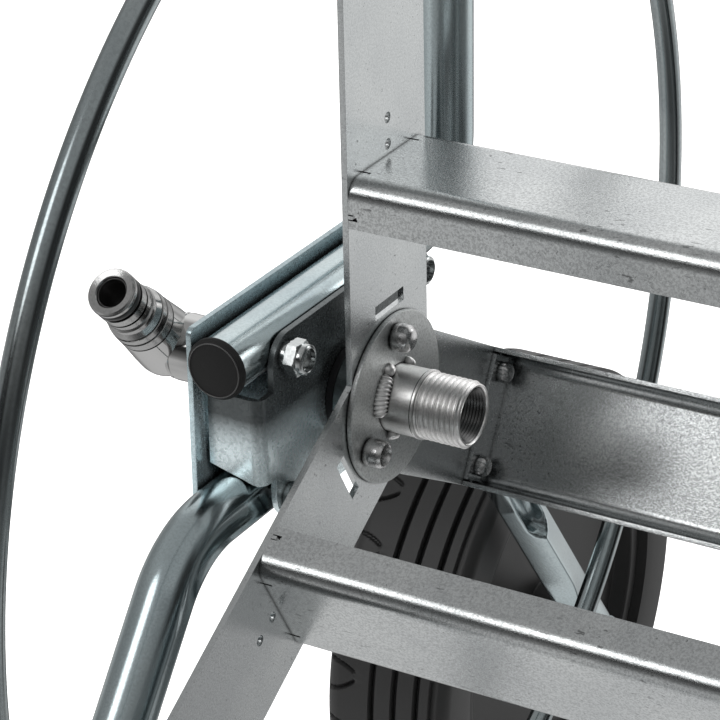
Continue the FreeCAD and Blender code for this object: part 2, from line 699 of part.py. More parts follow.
nose = dims.plug_nose / 2
reach = dims.plug_reach
plug_body = new_body("quick_plug")
profile = [
    (plug_start, dims.plug_bore / 2), (plug_start, 9.3), (reach - 20.0, 9.3), (reach - 19.4, 8.7),
    (reach - 15.5, 8.7), (reach - 14.6, 7.4), (reach - 12.6, 7.4), (reach - 11.4, nose),
    (reach - 5.6, nose), (reach - 5.6, nose - 1.9), (reach - 3.0, nose - 1.9), (reach - 3.0, nose),
    (reach - 0.9, nose), (reach, nose - 0.9), (reach, dims.plug_bore / 2)]
revolve(plug_body, outline(plug_body, "XZ_Plane", profile))
plug_body.Placement = Placement(Vector(elbow_at.value, 0, 0),
                                Rotation(Vector(1, 0, 0), 45).multiply(Rotation(Vector(0, 1, 0), -90)))
bind(plug_body, "Placement.Base.x", elbow_at)
keep(plug_body, "quick_plug")
ring = doc.addObject("Part::Torus", "PlugRing")
ring.Radius1, ring.Radius2 = nose.value - 0.85, 0.95
bind(ring, "Radius1", nose - 0.85)
ring_reach = reach - 4.3
ring_step = ring_reach * math.sqrt(0.5)
ring.Placement = Placement(Vector(elbow_at.value, -ring_step.value, ring_step.value), up_front)
bind(ring, "Placement.Base.x", elbow_at)
bind(ring, "Placement.Base.y", -ring_step)
bind(ring, "Placement.Base.z", ring_step)
keep(ring, "plug_o_ring")

# ---------------------------------------------------------------- side plates

bolts = [(-dims.bolt_reach, dims.upper_bolt), (dims.bolt_reach, dims.upper_bolt),
         (-dims.bolt_reach, -dims.lower_bolt), (dims.bolt_reach, -dims.lower_bolt)]
plate_holes = [(y, z, dims.bolt_hole) for y, z in bolts] + [(0, 0, dims.bush_diameter)]


def is_corner(edge):
    return runs_along_x(edge) and edge.Curve.TypeId == "Part::GeomLine"


body = new_body("outer_plate_left")
front, top, foot = dims.plate_front, dims.plate_top, dims.plate_foot
pad(body, outline(body, "YZ_Plane", [(-front, -foot), (front, -foot), (front, top), (-front, top)],
                  offset=plate_outside), dims.sheet)
bend_edges(body, dims.outer_corner, is_corner)
pocket(body, circles(body, "YZ_Plane", plate_holes))
outer_plate = keep(body, "outer_plate_left")

# The inner plate carries a web folded towards the outer plate at its front and back edges.
body = new_body("inner_plate_left")
front, top = dims.inner_front, dims.inner_top
pad(body, outline(body, "YZ_Plane", [(-front, -foot), (front, -foot), (front, top), (-front, top)],
                  offset=plate_gap_in), dims.sheet)
bend_edges(body, dims.plate_corner, is_corner)
web_edge = plate_gap_out + 1.5
for way in (-1, 1):
    near, far = way * (front - 6.0), way * dims.web_front
    back = way * (dims.web_front - dims.sheet)
    fold = [(plate_inside, near), (plate_inside, far), (web_edge, far), (web_edge, back),
            (plate_gap_in, back), (plate_gap_in, near)]
    pad(body, outline(body, "XY_Plane", fold, offset=-dims.web_foot), dims.web_foot + dims.web_top)
    corner = Vector(plate_inside.value, far.value, 0)
    bend_edges(body, dims.web_bend, lambda e: all(abs(v.Point.x - corner.x) < 1e-6 and
                                                  abs(v.Point.y - corner.y) < 1e-6 for v in e.Vertexes))
pocket(body, circles(body, "YZ_Plane", plate_holes))
trim = [(web_edge, -dims.web_foot), (plate_gap_in, -dims.web_foot), (web_edge, dims.web_trim - dims.web_foot)]
pocket(body, outline(body, "XZ_Plane", trim))
inner_plate = keep(body, "inner_plate_left")

# Plain bearing: flange against the inner plate, sleeve through both, clamped by a ring nut.
bore_r = shaft_r + dims.running_gap
bush_r = dims.bush_diameter / 2


def bearing(name, sleeve_end):
    flange_face = plate_inside + dims.bush_flange_length
    flange_r = dims.bush_flange / 2
    return lathe(name, [(flange_face, bore_r), (flange_face, flange_r), (plate_inside, flange_r),
                        (plate_inside, bush_r), (sleeve_end, bush_r), (sleeve_end, bore_r)])


def ring_nut(name, sleeve_end):
    nut = cut(rod(sleeve_end, 0, 0, dims.ring_nut_diameter / 2, plate_outside - sleeve_end),
              rod(sleeve_end, 0, 0, bush_r, plate_outside - sleeve_end))
    return keep(nut, name)


bearing("bearing_left", bush_end)
ring_nut("ring_nut_left", bush_end)
short = bearing("bearing_short", plate_outside - 5.0)
short_nut = ring_nut("ring_nut_short", plate_outside - 5.0)
for name in ("bearing_short", "ring_nut_short"):
    del parts[name]
mirror(short, "bearing_right")
mirror(short_nut, "ring_nut_right")
mirror(outer_plate, "outer_plate_right")
mirror(inner_plate, "inner_plate_right")

# ---------------------------------------------------------------- frame bolts

bolt_r = dims.bolt_diameter / 2
nut_seat = plate_inside
bolt_end = nut_seat + dims.nut_length - 2.6


def frame_bolt(y, z):
    head = hexagon(plate_outside - dims.bolt_head_length, y, z, dims.nut_width, dims.bolt_head_length)
    return fuse(head, rod(plate_outside - 1.0, y, z, bolt_r, bolt_end - plate_outside + 1.0))


def lock_nut(y, z):
    """Lock nut: a washer face, a hexagon and a round collar that holds the nylon ring."""
    foot_length, collar_length = 2.0, 2.0
    foot = rod(nut_seat, y, z, dims.nut_width * 0.43, foot_length)
    collar_start = nut_seat + dims.nut_length - collar_length
    hexed = hexagon(nut_seat + foot_length, y, z, dims.nut_width, collar_start - nut_seat - foot_length)
    collar = rod(collar_start, y, z, dims.nut_width * 0.47, collar_length)
    return cut(fuse(foot, hexed, collar), rod(nut_seat, y, z, bolt_r, dims.nut_length))


mirror(group("frame_bolts_left", [frame_bolt(y, z) for y, z in bolts]), "frame_bolts_right")
mirror(group("lock_nuts_left", [lock_nut(y, z) for y, z in bolts]), "lock_nuts_right")

# ---------------------------------------------------------------- bent tubes

tube_x = (plate_gap_in + plate_gap_out) / 2


def rounded_path(corners, radii):
    """Straight runs joined by tangent arcs: a radius for each inner corner."""
    edges, at = [], corners[0]
    for before, corner, after, radius in zip(corners, corners[1:], corners[2:], radii):
        inward, outward = (corner - before).normalize(), (after - corner).normalize()
        turn = inward.getAngle(outward)
        run = radius * math.tan(turn / 2)
        start, stop = corner - inward * run, corner + outward * run
        bisector = (outward - inward).normalize()
        middle = corner + bisector * (radius / math.cos(turn / 2) - radius)
        edges += [Part.LineSegment(at, start).toShape(), Part.Arc(start, middle, stop).toShape()]
        at = stop
    edges.append(Part.LineSegment(at, corners[-1]).toShape())
    return Part.Wire(edges)


def swept(path, radius, start, direction):
    section = Part.Wire(Part.Circle(start, direction, radius).toShape())
    return path.makePipeShell([section], True, False)


def bent_tube(corners, radii, outer, wall):
    """A hollow round tube along a rounded path."""
    path = rounded_path(corners, radii)
    heading = (corners[1] - corners[0]).normalize()
    return swept(path, outer, corners[0], heading).cut(swept(path, outer - wall, corners[0], heading))


def shaped(name, shape):
    feature = doc.addObject("Part::Feature", name)
    feature.Shape = shape
    feature.Placement = Placement()
    return keep(feature, name)


tube_r = dims.tube_diameter.value / 2
wall = dims.tube_wall.value
run_x, run_z = tube_x.value, dims.run_height.value
run_front = -dims.plate_front.value
back, crown = dims.handle_back.value, dims.handle_top.value
handle = bent_tube(
    [Vector(run_x, run_front, run_z), Vector(run_x, back, run_z), Vector(run_x, back, crown),
     Vector(-run_x, back, crown), Vector(-run_x, back, run_z), Vector(-run_x, run_front, run_z)],
    [dims.handle_bend.value, dims.handle_corner.value, dims.handle_corner.value, dims.handle_bend.value],
    tube_r, wall)


def bolt_bores(shape, x_low, x_high, y_z, radius):
    """Drill a shape along X at each (y, z)."""
    for y, z in y_z:
        start = Vector(x_low, y, z)
        shape = shape.cut(Part.makeCylinder(radius, x_high - x_low, start, Vector(1, 0, 0)))
    return shape


upper = [(y.value, z.value) for y, z in bolts[:2]]
lower_front, lower_back = [(y.value, z.value) for y, z in bolts[2:]]
hole_r = dims.bolt_hole.value / 2
outside = abs(plate_outside.value)
shaped("handle_tube", bolt_bores(handle, -outside, outside, upper, hole_r))
caps = []
for x in (run_x, -run_x):
    mouth = Vector(x, run_front, run_z)
    disc = Part.makeCylinder(tube_r + 0.7, dims.cap_length.value, mouth, Vector(0, -1, 0))
    plug = Part.makeCylinder(tube_r - wall, 12.0, mouth, Vector(0, 1, 0))
    caps.append(disc.fuse(plug))
shaped("tube_caps", Part.makeCompound(caps))
grip_half = dims.grip_length.value / 2
grip_end = Vector(-grip_half, back, crown)
grip = Part.makeCylinder(dims.grip_diameter.value / 2, 2 * grip_half, grip_end, Vector(1, 0, 0))
grip = grip.makeFillet(4.0, [e for e in grip.Edges if e.Curve.TypeId == "Part::GeomCircle"])
grip = grip.cut(Part.makeCylinder(tube_r, 2 * grip_half, grip_end, Vector(1, 0, 0)))
shaped("handle_grip", grip)


def grooved_tube(corners, radii, outer, wall, grooves):
    """A bent tube with a groove pressed into its side towards the drum, along each given path.

    A groove is (corners, radii, shift): the tube's own centre line as far as the groove goes,
    and the middle of the pressing tool off it along X, as a share of the tube's radius.
    """
    path = rounded_path(corners, radii)
    heading = (corners[1] - corners[0]).normalize()
    skin, core = swept(path, outer, corners[0], heading), swept(path, outer - wall, corners[0], heading)
    groove_r = outer * 0.6
    for way, bends, shift in grooves:
        way = [corner + Vector(shift * outer, 0, 0) for corner in way]
        line = rounded_path(way, bends)
        aim = (way[1] - way[0]).normalize()
        skin = skin.cut(swept(line, groove_r, way[0], aim).fuse(Part.makeSphere(groove_r, way[-1])))
        deeper = groove_r + wall
        core = core.cut(swept(line, deeper, way[0], aim).fuse(Part.makeSphere(deeper, way[-1])))
    return skin.cut(core)


def hammered_end(start, end, along, radius):
    """Flattened end of a tube: a wedge that widens as it thins, then a tongue with a round nose."""
    half_thick, half_wide = dims.crush.value / 2, radius * 1.32
    x, across = Vector(1, 0, 0), along.cross(Vector(1, 0, 0)).normalize()
    flat = (end - start).Length - 12.0
    low = start + along * flat

    def prism(first, first_half, last, last_half, width):
        shift = across * width
        ring = [first + x * first_half, last + x * last_half, last - x * last_half, first - x * first_half]
        return Part.Face(Part.makePolygon([p - shift for p in ring + ring[:1]])).extrude(shift * 2)

    wedge = prism(start, radius, low, half_thick, 2 * half_wide)
    cone = Part.makeCone(radius, half_wide, flat, start, along)
    nose = end + along * dims.nose_reach.value
    tongue = prism(low, half_thick, nose, half_thick, half_wide)
    nose_piece = Part.makeCylinder(half_wide, 2 * half_thick, nose - x * half_thick, x)
    return cone.common(wedge).fuse([tongue, nose_piece])


# Front leg: bolted low between the plates, forward, down, across the floor and back up.
ground = -dims.axle_drop.value - dims.wheel_diameter.value / 2
floor_z = ground + tube_r + dims.sleeve_wall.value
knee = Vector(run_x, -dims.leg_knee.value, -dims.lower_bolt.value - 1.0)
floor_left = Vector(run_x, -dims.foot_front.value, floor_z)
tube_end = Vector(0, 9.0, 0)                        # a tube runs on past its bolt


def flip(v):
    return Vector(-v.x, v.y, v.z)


leg_top = Vector(run_x, lower_front[0], knee.z) + tube_end
leg_down = (floor_left - knee).normalize()
groove_path = [leg_top, knee, knee + leg_down * dims.dent_reach.value]
twin_path = [flip(corner) for corner in groove_path]
leg_bends = [dims.leg_bend.value]
shallow, deep = 1.15, 0.66                          # places of the pressing tool, in tube radii
leg = grooved_tube(
    [leg_top, knee, floor_left, flip(floor_left), flip(knee), flip(leg_top)],
    leg_bends + [dims.leg_corner.value] * 2 + leg_bends, tube_r, wall,
    [(groove_path, leg_bends, shallow), (twin_path, leg_bends, -shallow)])
shaped("front_leg", bolt_bores(leg, -outside, outside, [lower_front], hole_r))
sleeves = []
for way in (-1, 1):
    middle = way * (abs(run_x) - dims.leg_corner.value - dims.sleeve_length.value / 2 - 6.0)
    length = dims.sleeve_length.value
    start = Vector(middle - length / 2, -dims.foot_front.value, floor_z)
    rubber = Part.makeCylinder(tube_r + dims.sleeve_wall.value, length, start, Vector(1, 0, 0))
    sleeves.append(rubber.cut(Part.makeCylinder(tube_r, length, start, Vector(1, 0, 0))))
shaped("foot_sleeves", Part.makeCompound(sleeves))

# Rear struts: bolted low between the plates, hammered flat on the axle.
strut_r = dims.strut_diameter.value / 2
strut_x = plate_gap_in.value - strut_r
axle_y, axle_z = dims.axle_back.value, -dims.axle_drop.value
strut_knee = Vector(strut_x, dims.strut_knee.value, -dims.lower_bolt.value)
axle_point = Vector(strut_x, axle_y, axle_z)
down_back = (axle_point - strut_knee).normalize()
strut_stop = axle_point - down_back * dims.crush_length.value
strut_top = Vector(strut_x, lower_back[0], lower_back[1]) - tube_end
dent_end = strut_knee + down_back * dims.strut_dent_reach.value
strut_bends = [dims.strut_bend.value]
strut = grooved_tube([strut_top, strut_knee, strut_stop], strut_bends, strut_r, dims.strut_wall.value,
                     [([strut_top, strut_knee, dent_end], strut_bends, deep)])
strut = strut.fuse(hammered_end(strut_stop, axle_point, down_back, strut_r))
strut = bolt_bores(strut, -outside, 0, [lower_back], hole_r)
strut = bolt_bores(strut, -outside, 0, [(axle_y, axle_z)], dims.axle_diameter.value / 2)
mirror(shaped("rear_strut_left", strut), "rear_strut_right")

# ---------------------------------------------------------------- wheels and axle

wheel_x = face - dims.wheel_offset
axle_end = wheel_x - dims.hub_length / 2 - 9.0
axle_r = dims.axle_diameter / 2
keep(rod(axle_end, dims.axle_back, -dims.axle_drop, axle_r, -2 * axle_end), "axle")
hub_inner = wheel_x + dims.hub_length / 2
crush_outer = size(strut_x - dims.crush.value / 2)
spacer_start = hub_inner + dims.end_gap


def axle_ring(x, radius, length):
    return cut(rod(x, dims.axle_back, -dims.axle_drop, radius, length),
               rod(x, dims.axle_back, -dims.axle_drop, axle_r, length))


left_spacer = axle_ring(spacer_start, axle_r + 3.5, crush_outer - spacer_start)
right_spacer = doc.addObject("Part::Mirroring", "SpacerTwin")
right_spacer.Source, right_spacer.Normal, right_spacer.Base = left_spacer, Vector(1, 0, 0), Vector(0, 0, 0)
group("axle_spacers", [left_spacer, right_spacer])
cap_inner = wheel_x - dims.hub_length / 2 - dims.end_gap
cap_shell = cut(rod(cap_inner - 11.0, dims.axle_back, -dims.axle_drop, axle_r + 5.0, 11.0),
                rod(cap_inner - 9.0, dims.axle_back, -dims.axle_drop, axle_r, 9.0))
right_cap = doc.addObject("Part::Mirroring", "CapTwin")
right_cap.Source, right_cap.Normal, right_cap.Base = cap_shell, Vector(1, 0, 0), Vector(0, 0, 0)
group("axle_caps", [cap_shell, right_cap])

wheel_r = dims.wheel_diameter / 2
rim_r = dims.rim_diameter / 2
half_tread = dims.wheel_width / 2
half_rim = half_tread - 4.0
hub_r = dims.hub_diameter / 2
wheel_bore = axle_r + dims.running_gap
web_half = half_tread - 10.0


def wheel_rim(name):
    """Moulded rim: hub, thick disc and a flanged seat for the tyre."""
    body = new_body(name)
    half_hub = dims.hub_length / 2
    half = [(half_hub, wheel_bore), (half_hub, hub_r - 2.0), (web_half, hub_r + 2.0), (web_half, rim_r - 9.0),
            (half_rim, rim_r - 6.0), (half_rim, rim_r)]
    profile = half + [(-size(x), r) for x, r in reversed(half)]
    revolve(body, outline(body, "XZ_Plane", profile))
    place(body, wheel_x, dims.axle_back, -dims.axle_drop)
    return keep(body, name)


def tyre(name):
    """Tyre with three tread grooves towards the frame and a plain, rounded outer shoulder."""
    shoulder_r, groove_half, groove_deep, rib = 7.0, 1.7, 2.6, dims.rib_pitch
    profile = [(-half_rim, rim_r), (half_rim, rim_r), (half_tread, rim_r + 6.0),
               (half_tread, wheel_r - shoulder_r), (half_tread - shoulder_r, wheel_r)]
    rounds = {3: shoulder_r}
    for x in (rib * 1.5, rib * 0.5, rib * -0.5):
        profile += [(x + groove_half, wheel_r), (x + groove_half - 0.7, wheel_r - groove_deep),
                    (x - groove_half + 0.7, wheel_r - groove_deep), (x - groove_half, wheel_r)]
    rounds[len(profile)] = shoulder_r
    profile += [(-half_tread + shoulder_r, wheel_r), (-half_tread, wheel_r - shoulder_r),
                (-half_tread, rim_r + 6.0)]
    return lathe(name, profile, wheel_x, dims.axle_back, -dims.axle_drop, rounds)


mirror(wheel_rim("wheel_rim_left"), "wheel_rim_right")
mirror(tyre("tyre_left"), "tyre_right")

# ---------------------------------------------------------------- check and write

doc.recompute()
for obj in doc.Objects:
    if any(word in obj.State for word in ("Invalid", "Error")):
        raise RuntimeError("%s (%s) is in state %s" % (obj.Name, obj.Label, obj.State))
os.makedirs("parts", exist_ok=True)
for name, obj in parts.items():
    shape = obj.Shape
    if shape.isNull() or not shape.isValid() or not shape.Solids:
        raise RuntimeError("%s has no valid solid" % name)
for name, obj in parts.items():
    obj.Shape.exportStep("parts/%s.step" % name)
    print("%-22s %2d solid(s) %12.1f mm3" % (name, len(obj.Shape.Solids), obj.Shape.Volume))
print(len(parts), "nodes")
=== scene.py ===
"""Looks of a mobile hose reel: zinc-plated drum and tube frame, plated swivel inlet, black wheels.

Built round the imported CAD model. Lengths are metres, except in the profiles of round pieces, which are
millimetres.
"""

import math

import bmesh
import bpy
from mathutils import Matrix, Vector, noise


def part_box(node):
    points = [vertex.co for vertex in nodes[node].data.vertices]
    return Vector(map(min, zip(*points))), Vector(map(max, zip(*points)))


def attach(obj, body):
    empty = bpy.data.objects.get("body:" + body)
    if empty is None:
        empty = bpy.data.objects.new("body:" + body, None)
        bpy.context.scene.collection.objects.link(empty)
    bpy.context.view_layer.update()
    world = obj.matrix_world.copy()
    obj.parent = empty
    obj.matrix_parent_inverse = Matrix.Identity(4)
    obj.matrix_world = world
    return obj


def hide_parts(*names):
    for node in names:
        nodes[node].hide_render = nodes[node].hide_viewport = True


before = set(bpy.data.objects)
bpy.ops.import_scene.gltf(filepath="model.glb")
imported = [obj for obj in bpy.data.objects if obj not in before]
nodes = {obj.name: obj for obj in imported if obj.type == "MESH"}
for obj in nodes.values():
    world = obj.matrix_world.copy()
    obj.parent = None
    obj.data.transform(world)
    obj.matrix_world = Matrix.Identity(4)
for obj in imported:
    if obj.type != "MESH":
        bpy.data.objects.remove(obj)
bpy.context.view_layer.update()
MM = 0.001
X, Y, Z = Vector((1, 0, 0)), Vector((0, 1, 0)), Vector((0, 0, 1))


# ---------------------------------------------------------------- places, from the frame

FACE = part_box("hub_disc_left")[0].x                       # inner face of the left spider
PLATE_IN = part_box("inner_plate_left")[1].x                # inner plate, face towards the drum
PLATE_LOW, PLATE_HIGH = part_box("outer_plate_left")        # outer plate's corners
SHEET_THICK = PLATE_HIGH.x - PLATE_LOW.x
TUBE_R = (PLATE_IN - SHEET_THICK - PLATE_HIGH.x) / 2      # the tubes lie between the two plates
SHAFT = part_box("inlet_shaft")


# ---------------------------------------------------------------- materials

SEAM_SHADE_REACH = 2.5 * MM                                           # reach of the painted shade (ambient occlusion) round each joint and corner


def material(name, color, metallic=0.0, roughness=0.5):
    """A plain Principled material; returns it with its node tree and shader."""
    mat = bpy.data.materials.new(name)
    mat.use_nodes = True
    shader = mat.node_tree.nodes["Principled BSDF"]
    shader.inputs["Base Color"].default_value = (*color, 1)
    shader.inputs["Metallic"].default_value = metallic
    shader.inputs["Roughness"].default_value = roughness
    return mat, mat.node_tree, shader


def add(tree, kind, **settings):
    """A new node with its settings."""
    node = tree.nodes.new(kind)
    for key, value in settings.items():
        setattr(node, key, value)
    return node


def noise_texture(tree, scale, detail=2.0, rough=0.5, stretch=(1, 1, 1)):
    """Noise in object space, in features per metre, squeezed along each axis by stretch."""
    place = add(tree, "ShaderNodeTexCoord")
    mapping = add(tree, "ShaderNodeMapping")
    mapping.inputs["Scale"].default_value = stretch
    tree.links.new(place.outputs["Object"], mapping.inputs["Vector"])
    texture = add(tree, "ShaderNodeTexNoise")
    texture.inputs["Scale"].default_value = scale
    texture.inputs["Detail"].default_value = detail
    texture.inputs["Roughness"].default_value = rough
    tree.links.new(mapping.outputs["Vector"], texture.inputs["Vector"])
    return texture.outputs["Fac"]


def ramp(tree, value, *stops):
    """A colour ramp from (position, grey or colour) stops."""
    node = add(tree, "ShaderNodeValToRGB")
    elements = node.color_ramp.elements
    for i, (position, tone) in enumerate(stops):
        element = elements[i] if i < len(elements) else elements.new(position)
        element.position = position
        tone = tone if isinstance(tone, tuple) else (tone, tone, tone)
        element.color = (*tone, 1)
    tree.links.new(value, node.inputs["Fac"])
    return node.outputs["Color"]


def multiply(tree, a, b):
    """Product of two colours."""
    node = add(tree, "ShaderNodeMix", data_type="RGBA", blend_type="MULTIPLY")
    node.inputs["Factor"].default_value = 1.0
    tree.links.new(a, node.inputs["A"])
    tree.links.new(b, node.inputs["B"])
    return node.outputs["Result"]


def math_node(tree, operation, a, b):
    """Result of a sum on two values, each a number or an output."""
    node = add(tree, "ShaderNodeMath", operation=operation)
    for socket, value in zip(node.inputs, (a, b)):
        if isinstance(value, (int, float)):
            socket.default_value = value
        else:
            tree.links.new(value, socket)
    return node.outputs["Value"]


def zinc(name, light, dark, roughness, grain=900, bump=0.03, marks=False, shade=None, metallic=1.0,
         mottle=0.10):
    """Zinc plate: a cloudy tint, a fine speckle in tone, gloss and height, and dull seams.

    grain is in speckles per metre and mottle is how much they darken the tint; marks adds sparse scuffs.
    shade is (low z, high z, gain above) in millimetres: painted shade, the colour darkens from low z up to
    high z, so the metal looks darker above than below.
    """
    mat, tree, shader = material(name, light, metallic, roughness)
    cloud = ramp(tree, noise_texture(tree, 26, 3, 0.6), (0.35, dark), (0.65, light))
    speckle = noise_texture(tree, grain, 3, 0.7)
    color = multiply(tree, cloud, ramp(tree, speckle, (0.40, 1 - mottle), (0.56, 1.0)))
    if marks:
        dashes = ramp(tree, noise_texture(tree, 620, 2, 0.6, (0.35, 0.8, 1.3)), (0.655, 0.0), (0.69, 1.0))
        where = ramp(tree, noise_texture(tree, 38, 2, 0.6), (0.50, 0.0), (0.62, 0.55))
        scuffs = math_node(tree, "SUBTRACT", 1.0, multiply(tree, dashes, where))
        color = multiply(tree, color, scuffs)
        specks = ramp(tree, noise_texture(tree, 1000, 1, 0.5), (0.73, 1.0), (0.76, 0.55))
        color = multiply(tree, color, specks)
    # Ambient occlusion darkens the colour in corners and where parts meet: painted shade.
    seam_shade = add(tree, "ShaderNodeAmbientOcclusion", samples=8)
    seam_shade.inputs["Distance"].default_value = SEAM_SHADE_REACH
    color = multiply(tree, color, ramp(tree, seam_shade.outputs["AO"], (0.30, 0.12), (0.72, 1.0)))
    # Painted shade: the colour is multiplied down with height, down to the gain above high z.
    if shade:
        low, high, gain = shade
        split = add(tree, "ShaderNodeSeparateXYZ")
        tree.links.new(add(tree, "ShaderNodeTexCoord").outputs["Object"], split.inputs["Vector"])
        share = math_node(tree, "MULTIPLY_ADD", split.outputs["Z"], 1 / ((high - low) * MM))
        share.node.inputs[2].default_value = -low / (high - low)
        color = multiply(tree, color, ramp(tree, share, (0.0, 1.0), (1.0, gain)))
    tree.links.new(color, shader.inputs["Base Color"])
    gloss = ramp(tree, speckle, (0.35, roughness * 1.2), (0.65, roughness * 0.85))
    tree.links.new(gloss, shader.inputs["Roughness"])
    height = add(tree, "ShaderNodeBump")
    height.inputs["Strength"].default_value = bump
    height.inputs["Distance"].default_value = 0.3 * MM
    tree.links.new(speckle, height.inputs["Height"])
    tree.links.new(height.outputs["Normal"], shader.inputs["Normal"])
    return mat


def rough_black(name, color, roughness, grain, bump, specular=0.5):
    """Rubber or plastic with a fine grain in its surface."""
    mat, tree, shader = material(name, color, 0.0, roughness)
    shader.inputs["Specular IOR Level"].default_value = specular
    height = add(tree, "ShaderNodeBump")
    height.inputs["Strength"].default_value = bump
    height.inputs["Distance"].default_value = 0.4 * MM
    tree.links.new(noise_texture(tree, grain, 3, 0.6), height.inputs["Height"])
    tree.links.new(height.outputs["Normal"], shader.inputs["Normal"])
    return mat


ARM = zinc("zinc_arm", (0.58, 0.60, 0.60), (0.51, 0.53, 0.535), 0.23, 1500, 0.12, True, mottle=0.14)
SHEET = zinc("zinc_sheet", (0.63, 0.65, 0.65), (0.55, 0.57, 0.575), 0.23, 1300, 0.14, True, mottle=0.26)
DISC = zinc("zinc_disc", (0.78, 0.80, 0.79), (0.60, 0.62, 0.62), 0.42, 1500, 0.20, mottle=0.24)
# Both side plates get painted shade: their colour darkens towards the top.
OUTER = zinc("zinc_outer_plate", (0.72, 0.86, 0.90), (0.60, 0.75, 0.80), 0.24,
             shade=(12, 26, 0.52), metallic=0.8, mottle=0.20)
INNER = zinc("zinc_inner_plate", (0.86, 0.96, 0.98), (0.76, 0.88, 0.91), 0.26,
             shade=(-2, 9, 0.11), metallic=0.65, mottle=0.20)
TUBE = zinc("zinc_tube", (0.50, 0.57, 0.58), (0.42, 0.49, 0.51), 0.17, 1400, 0.07)
ROD = zinc("zinc_rod", (0.40, 0.44, 0.445), (0.32, 0.36, 0.37), 0.17, 900, 0.015)
PIPE = zinc("zinc_pipe", (0.98, 0.97, 0.96), (0.84, 0.84, 0.83), 0.34, 1400, 0.16, mottle=0.10)
RIVET = zinc("zinc_rivet", (0.66, 0.66, 0.66), (0.52, 0.52, 0.52), 0.24, 1200, 0.06)
BRIGHT = zinc("zinc_bright", (0.55, 0.57, 0.57), (0.46, 0.48, 0.48), 0.14, 900, 0.02)
CHROME = material("nickel_chrome", (0.49, 0.49, 0.485), 1.0, 0.08)[0]
# Near-black metal for the sheets laid inside the bores: painted shade.
BORE_SHADE = material("painted_bore_shade", (0.14, 0.14, 0.14), 0.95, 0.25)[0]
TURNED = zinc("turned_chrome", (0.43, 0.43, 0.425), (0.33, 0.33, 0.33), 0.13, 1300, 0.10)
# Lighter than the cap plastic: a painted highlight along the raised beads on the caps.
CAP_BEAD_HIGHLIGHT = rough_black("cap_painted_highlight", (0.030, 0.030, 0.030), 0.25, 900, 0.02, 0.8)
CAP = rough_black("cap_plastic", (0.008, 0.008, 0.008), 0.55, 1500, 0.12, 0.25)
RUBBER = rough_black("ring_rubber", (0.010, 0.010, 0.010), 0.35, 900, 0.02)
FOAM = rough_black("grip_foam", (0.015, 0.015, 0.016), 0.9, 2600, 0.5)
TYRE = rough_black("tyre_rubber", (0.019, 0.019, 0.019), 0.45, 500, 0.05, 0.35)
RIM = rough_black("rim_plastic", (0.012, 0.012, 0.012), 0.4, 900, 0.05, 0.3)
BUSH = rough_black("bush_plastic", (0.02, 0.02, 0.022), 0.45, 900, 0.03, 0.3)


# ---------------------------------------------------------------- mesh helpers


def smooth(mesh, degrees=35):
    """Smooth shading with sharp edges above an angle."""
    bm = bmesh.new()
    bm.from_mesh(mesh)
    for face in bm.faces:
        face.smooth = True
    limit = math.radians(degrees)
    for edge in bm.edges:
        edge.smooth = len(edge.link_faces) == 2 and edge.calc_face_angle() < limit
    bm.to_mesh(mesh)
    bm.free()


def piece(name, verts, faces, mat, body, slot, *replaced, degrees=35):
    """A new mesh object that rides on a body and may stand for CAD nodes."""
    mesh = bpy.data.meshes.new(name)
    mesh.from_pydata([tuple(v) for v in verts], [], faces)
    bm = bmesh.new()
    bm.from_mesh(mesh)
    bmesh.ops.recalc_face_normals(bm, faces=bm.faces)
    bm.to_mesh(mesh)
    bm.free()
    smooth(mesh, degrees)
    obj = bpy.data.objects.new(name, mesh)
    bpy.context.scene.collection.objects.link(obj)
    obj.data.materials.append(mat)
    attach(obj, body)
    if replaced:
        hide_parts(*replaced)
    return obj


def grid(rows, closed_ends=True, loop_rows=False):
    """Vertices and faces of rings of points; the ends are closed by one face each."""
    count = len(rows[0])
    verts = [v for row in rows for v in row]
    faces = []
    last = len(rows) if loop_rows else len(rows) - 1
    for i in range(last):
        a, b = i * count, ((i + 1) % len(rows)) * count
        faces += [(a + j, a + (j + 1) % count, b + (j + 1) % count, b + j) for j in range(count)]
    if closed_ends and not loop_rows:
        faces += [tuple(range(count))[::-1], tuple(range(len(verts) - count, len(verts)))]
    return verts, faces


def spin(profile, centre=Vector(), axis=X, segments=96, bulge=None):
    """Rings of a surface of revolution from (along, radius) points in millimetres."""
    side = Z if abs(axis.dot(Z)) < 0.9 else Y
    u = (side - axis * side.dot(axis)).normalized()
    w = axis.cross(u)
    rows = []
    for along, radius in profile:
        row = []
        for k in range(segments):
            a = 2 * math.pi * k / segments
            r = bulge(along, radius, a) if bulge else radius
            row.append(centre + axis * along * MM + (u * math.cos(a) + w * math.sin(a)) * r * MM)
        rows.append(row)
    return rows


def turned(name, profile, centre, axis, mat, body, slot, *replaced, segments=96, degrees=35, bulge=None):
    """A turned piece. Its profile is a closed loop unless it starts and ends on the axis."""
    solid = profile[0][1] < 0.01 and profile[-1][1] < 0.01
    rows = spin(profile, centre, axis, segments, bulge)
    verts, faces = grid(rows, closed_ends=solid, loop_rows=not solid)
    return piece(name, verts, faces, mat, body, slot, *replaced, degrees=degrees)


def merge(*shells):
    """Several (verts, faces) as one."""
    verts, faces = [], []
    for v, f in shells:
        shift = len(verts)
        verts += list(v)
        faces += [tuple(i + shift for i in face) for face in f]
    return verts, faces


def mirrored(shell):
    """The twin of (verts, faces) on the other side of X = 0."""
    return [Vector((-v[0], v[1], v[2])) for v in shell[0]], [tuple(reversed(f)) for f in shell[1]]


def arc_points(centre, start, normal, angle, steps):
    """Points of an arc from start, about an axis through its centre."""
    return [centre + Matrix.Rotation(angle * k / steps, 3, normal) @ (start - centre)
            for k in range(steps + 1)]


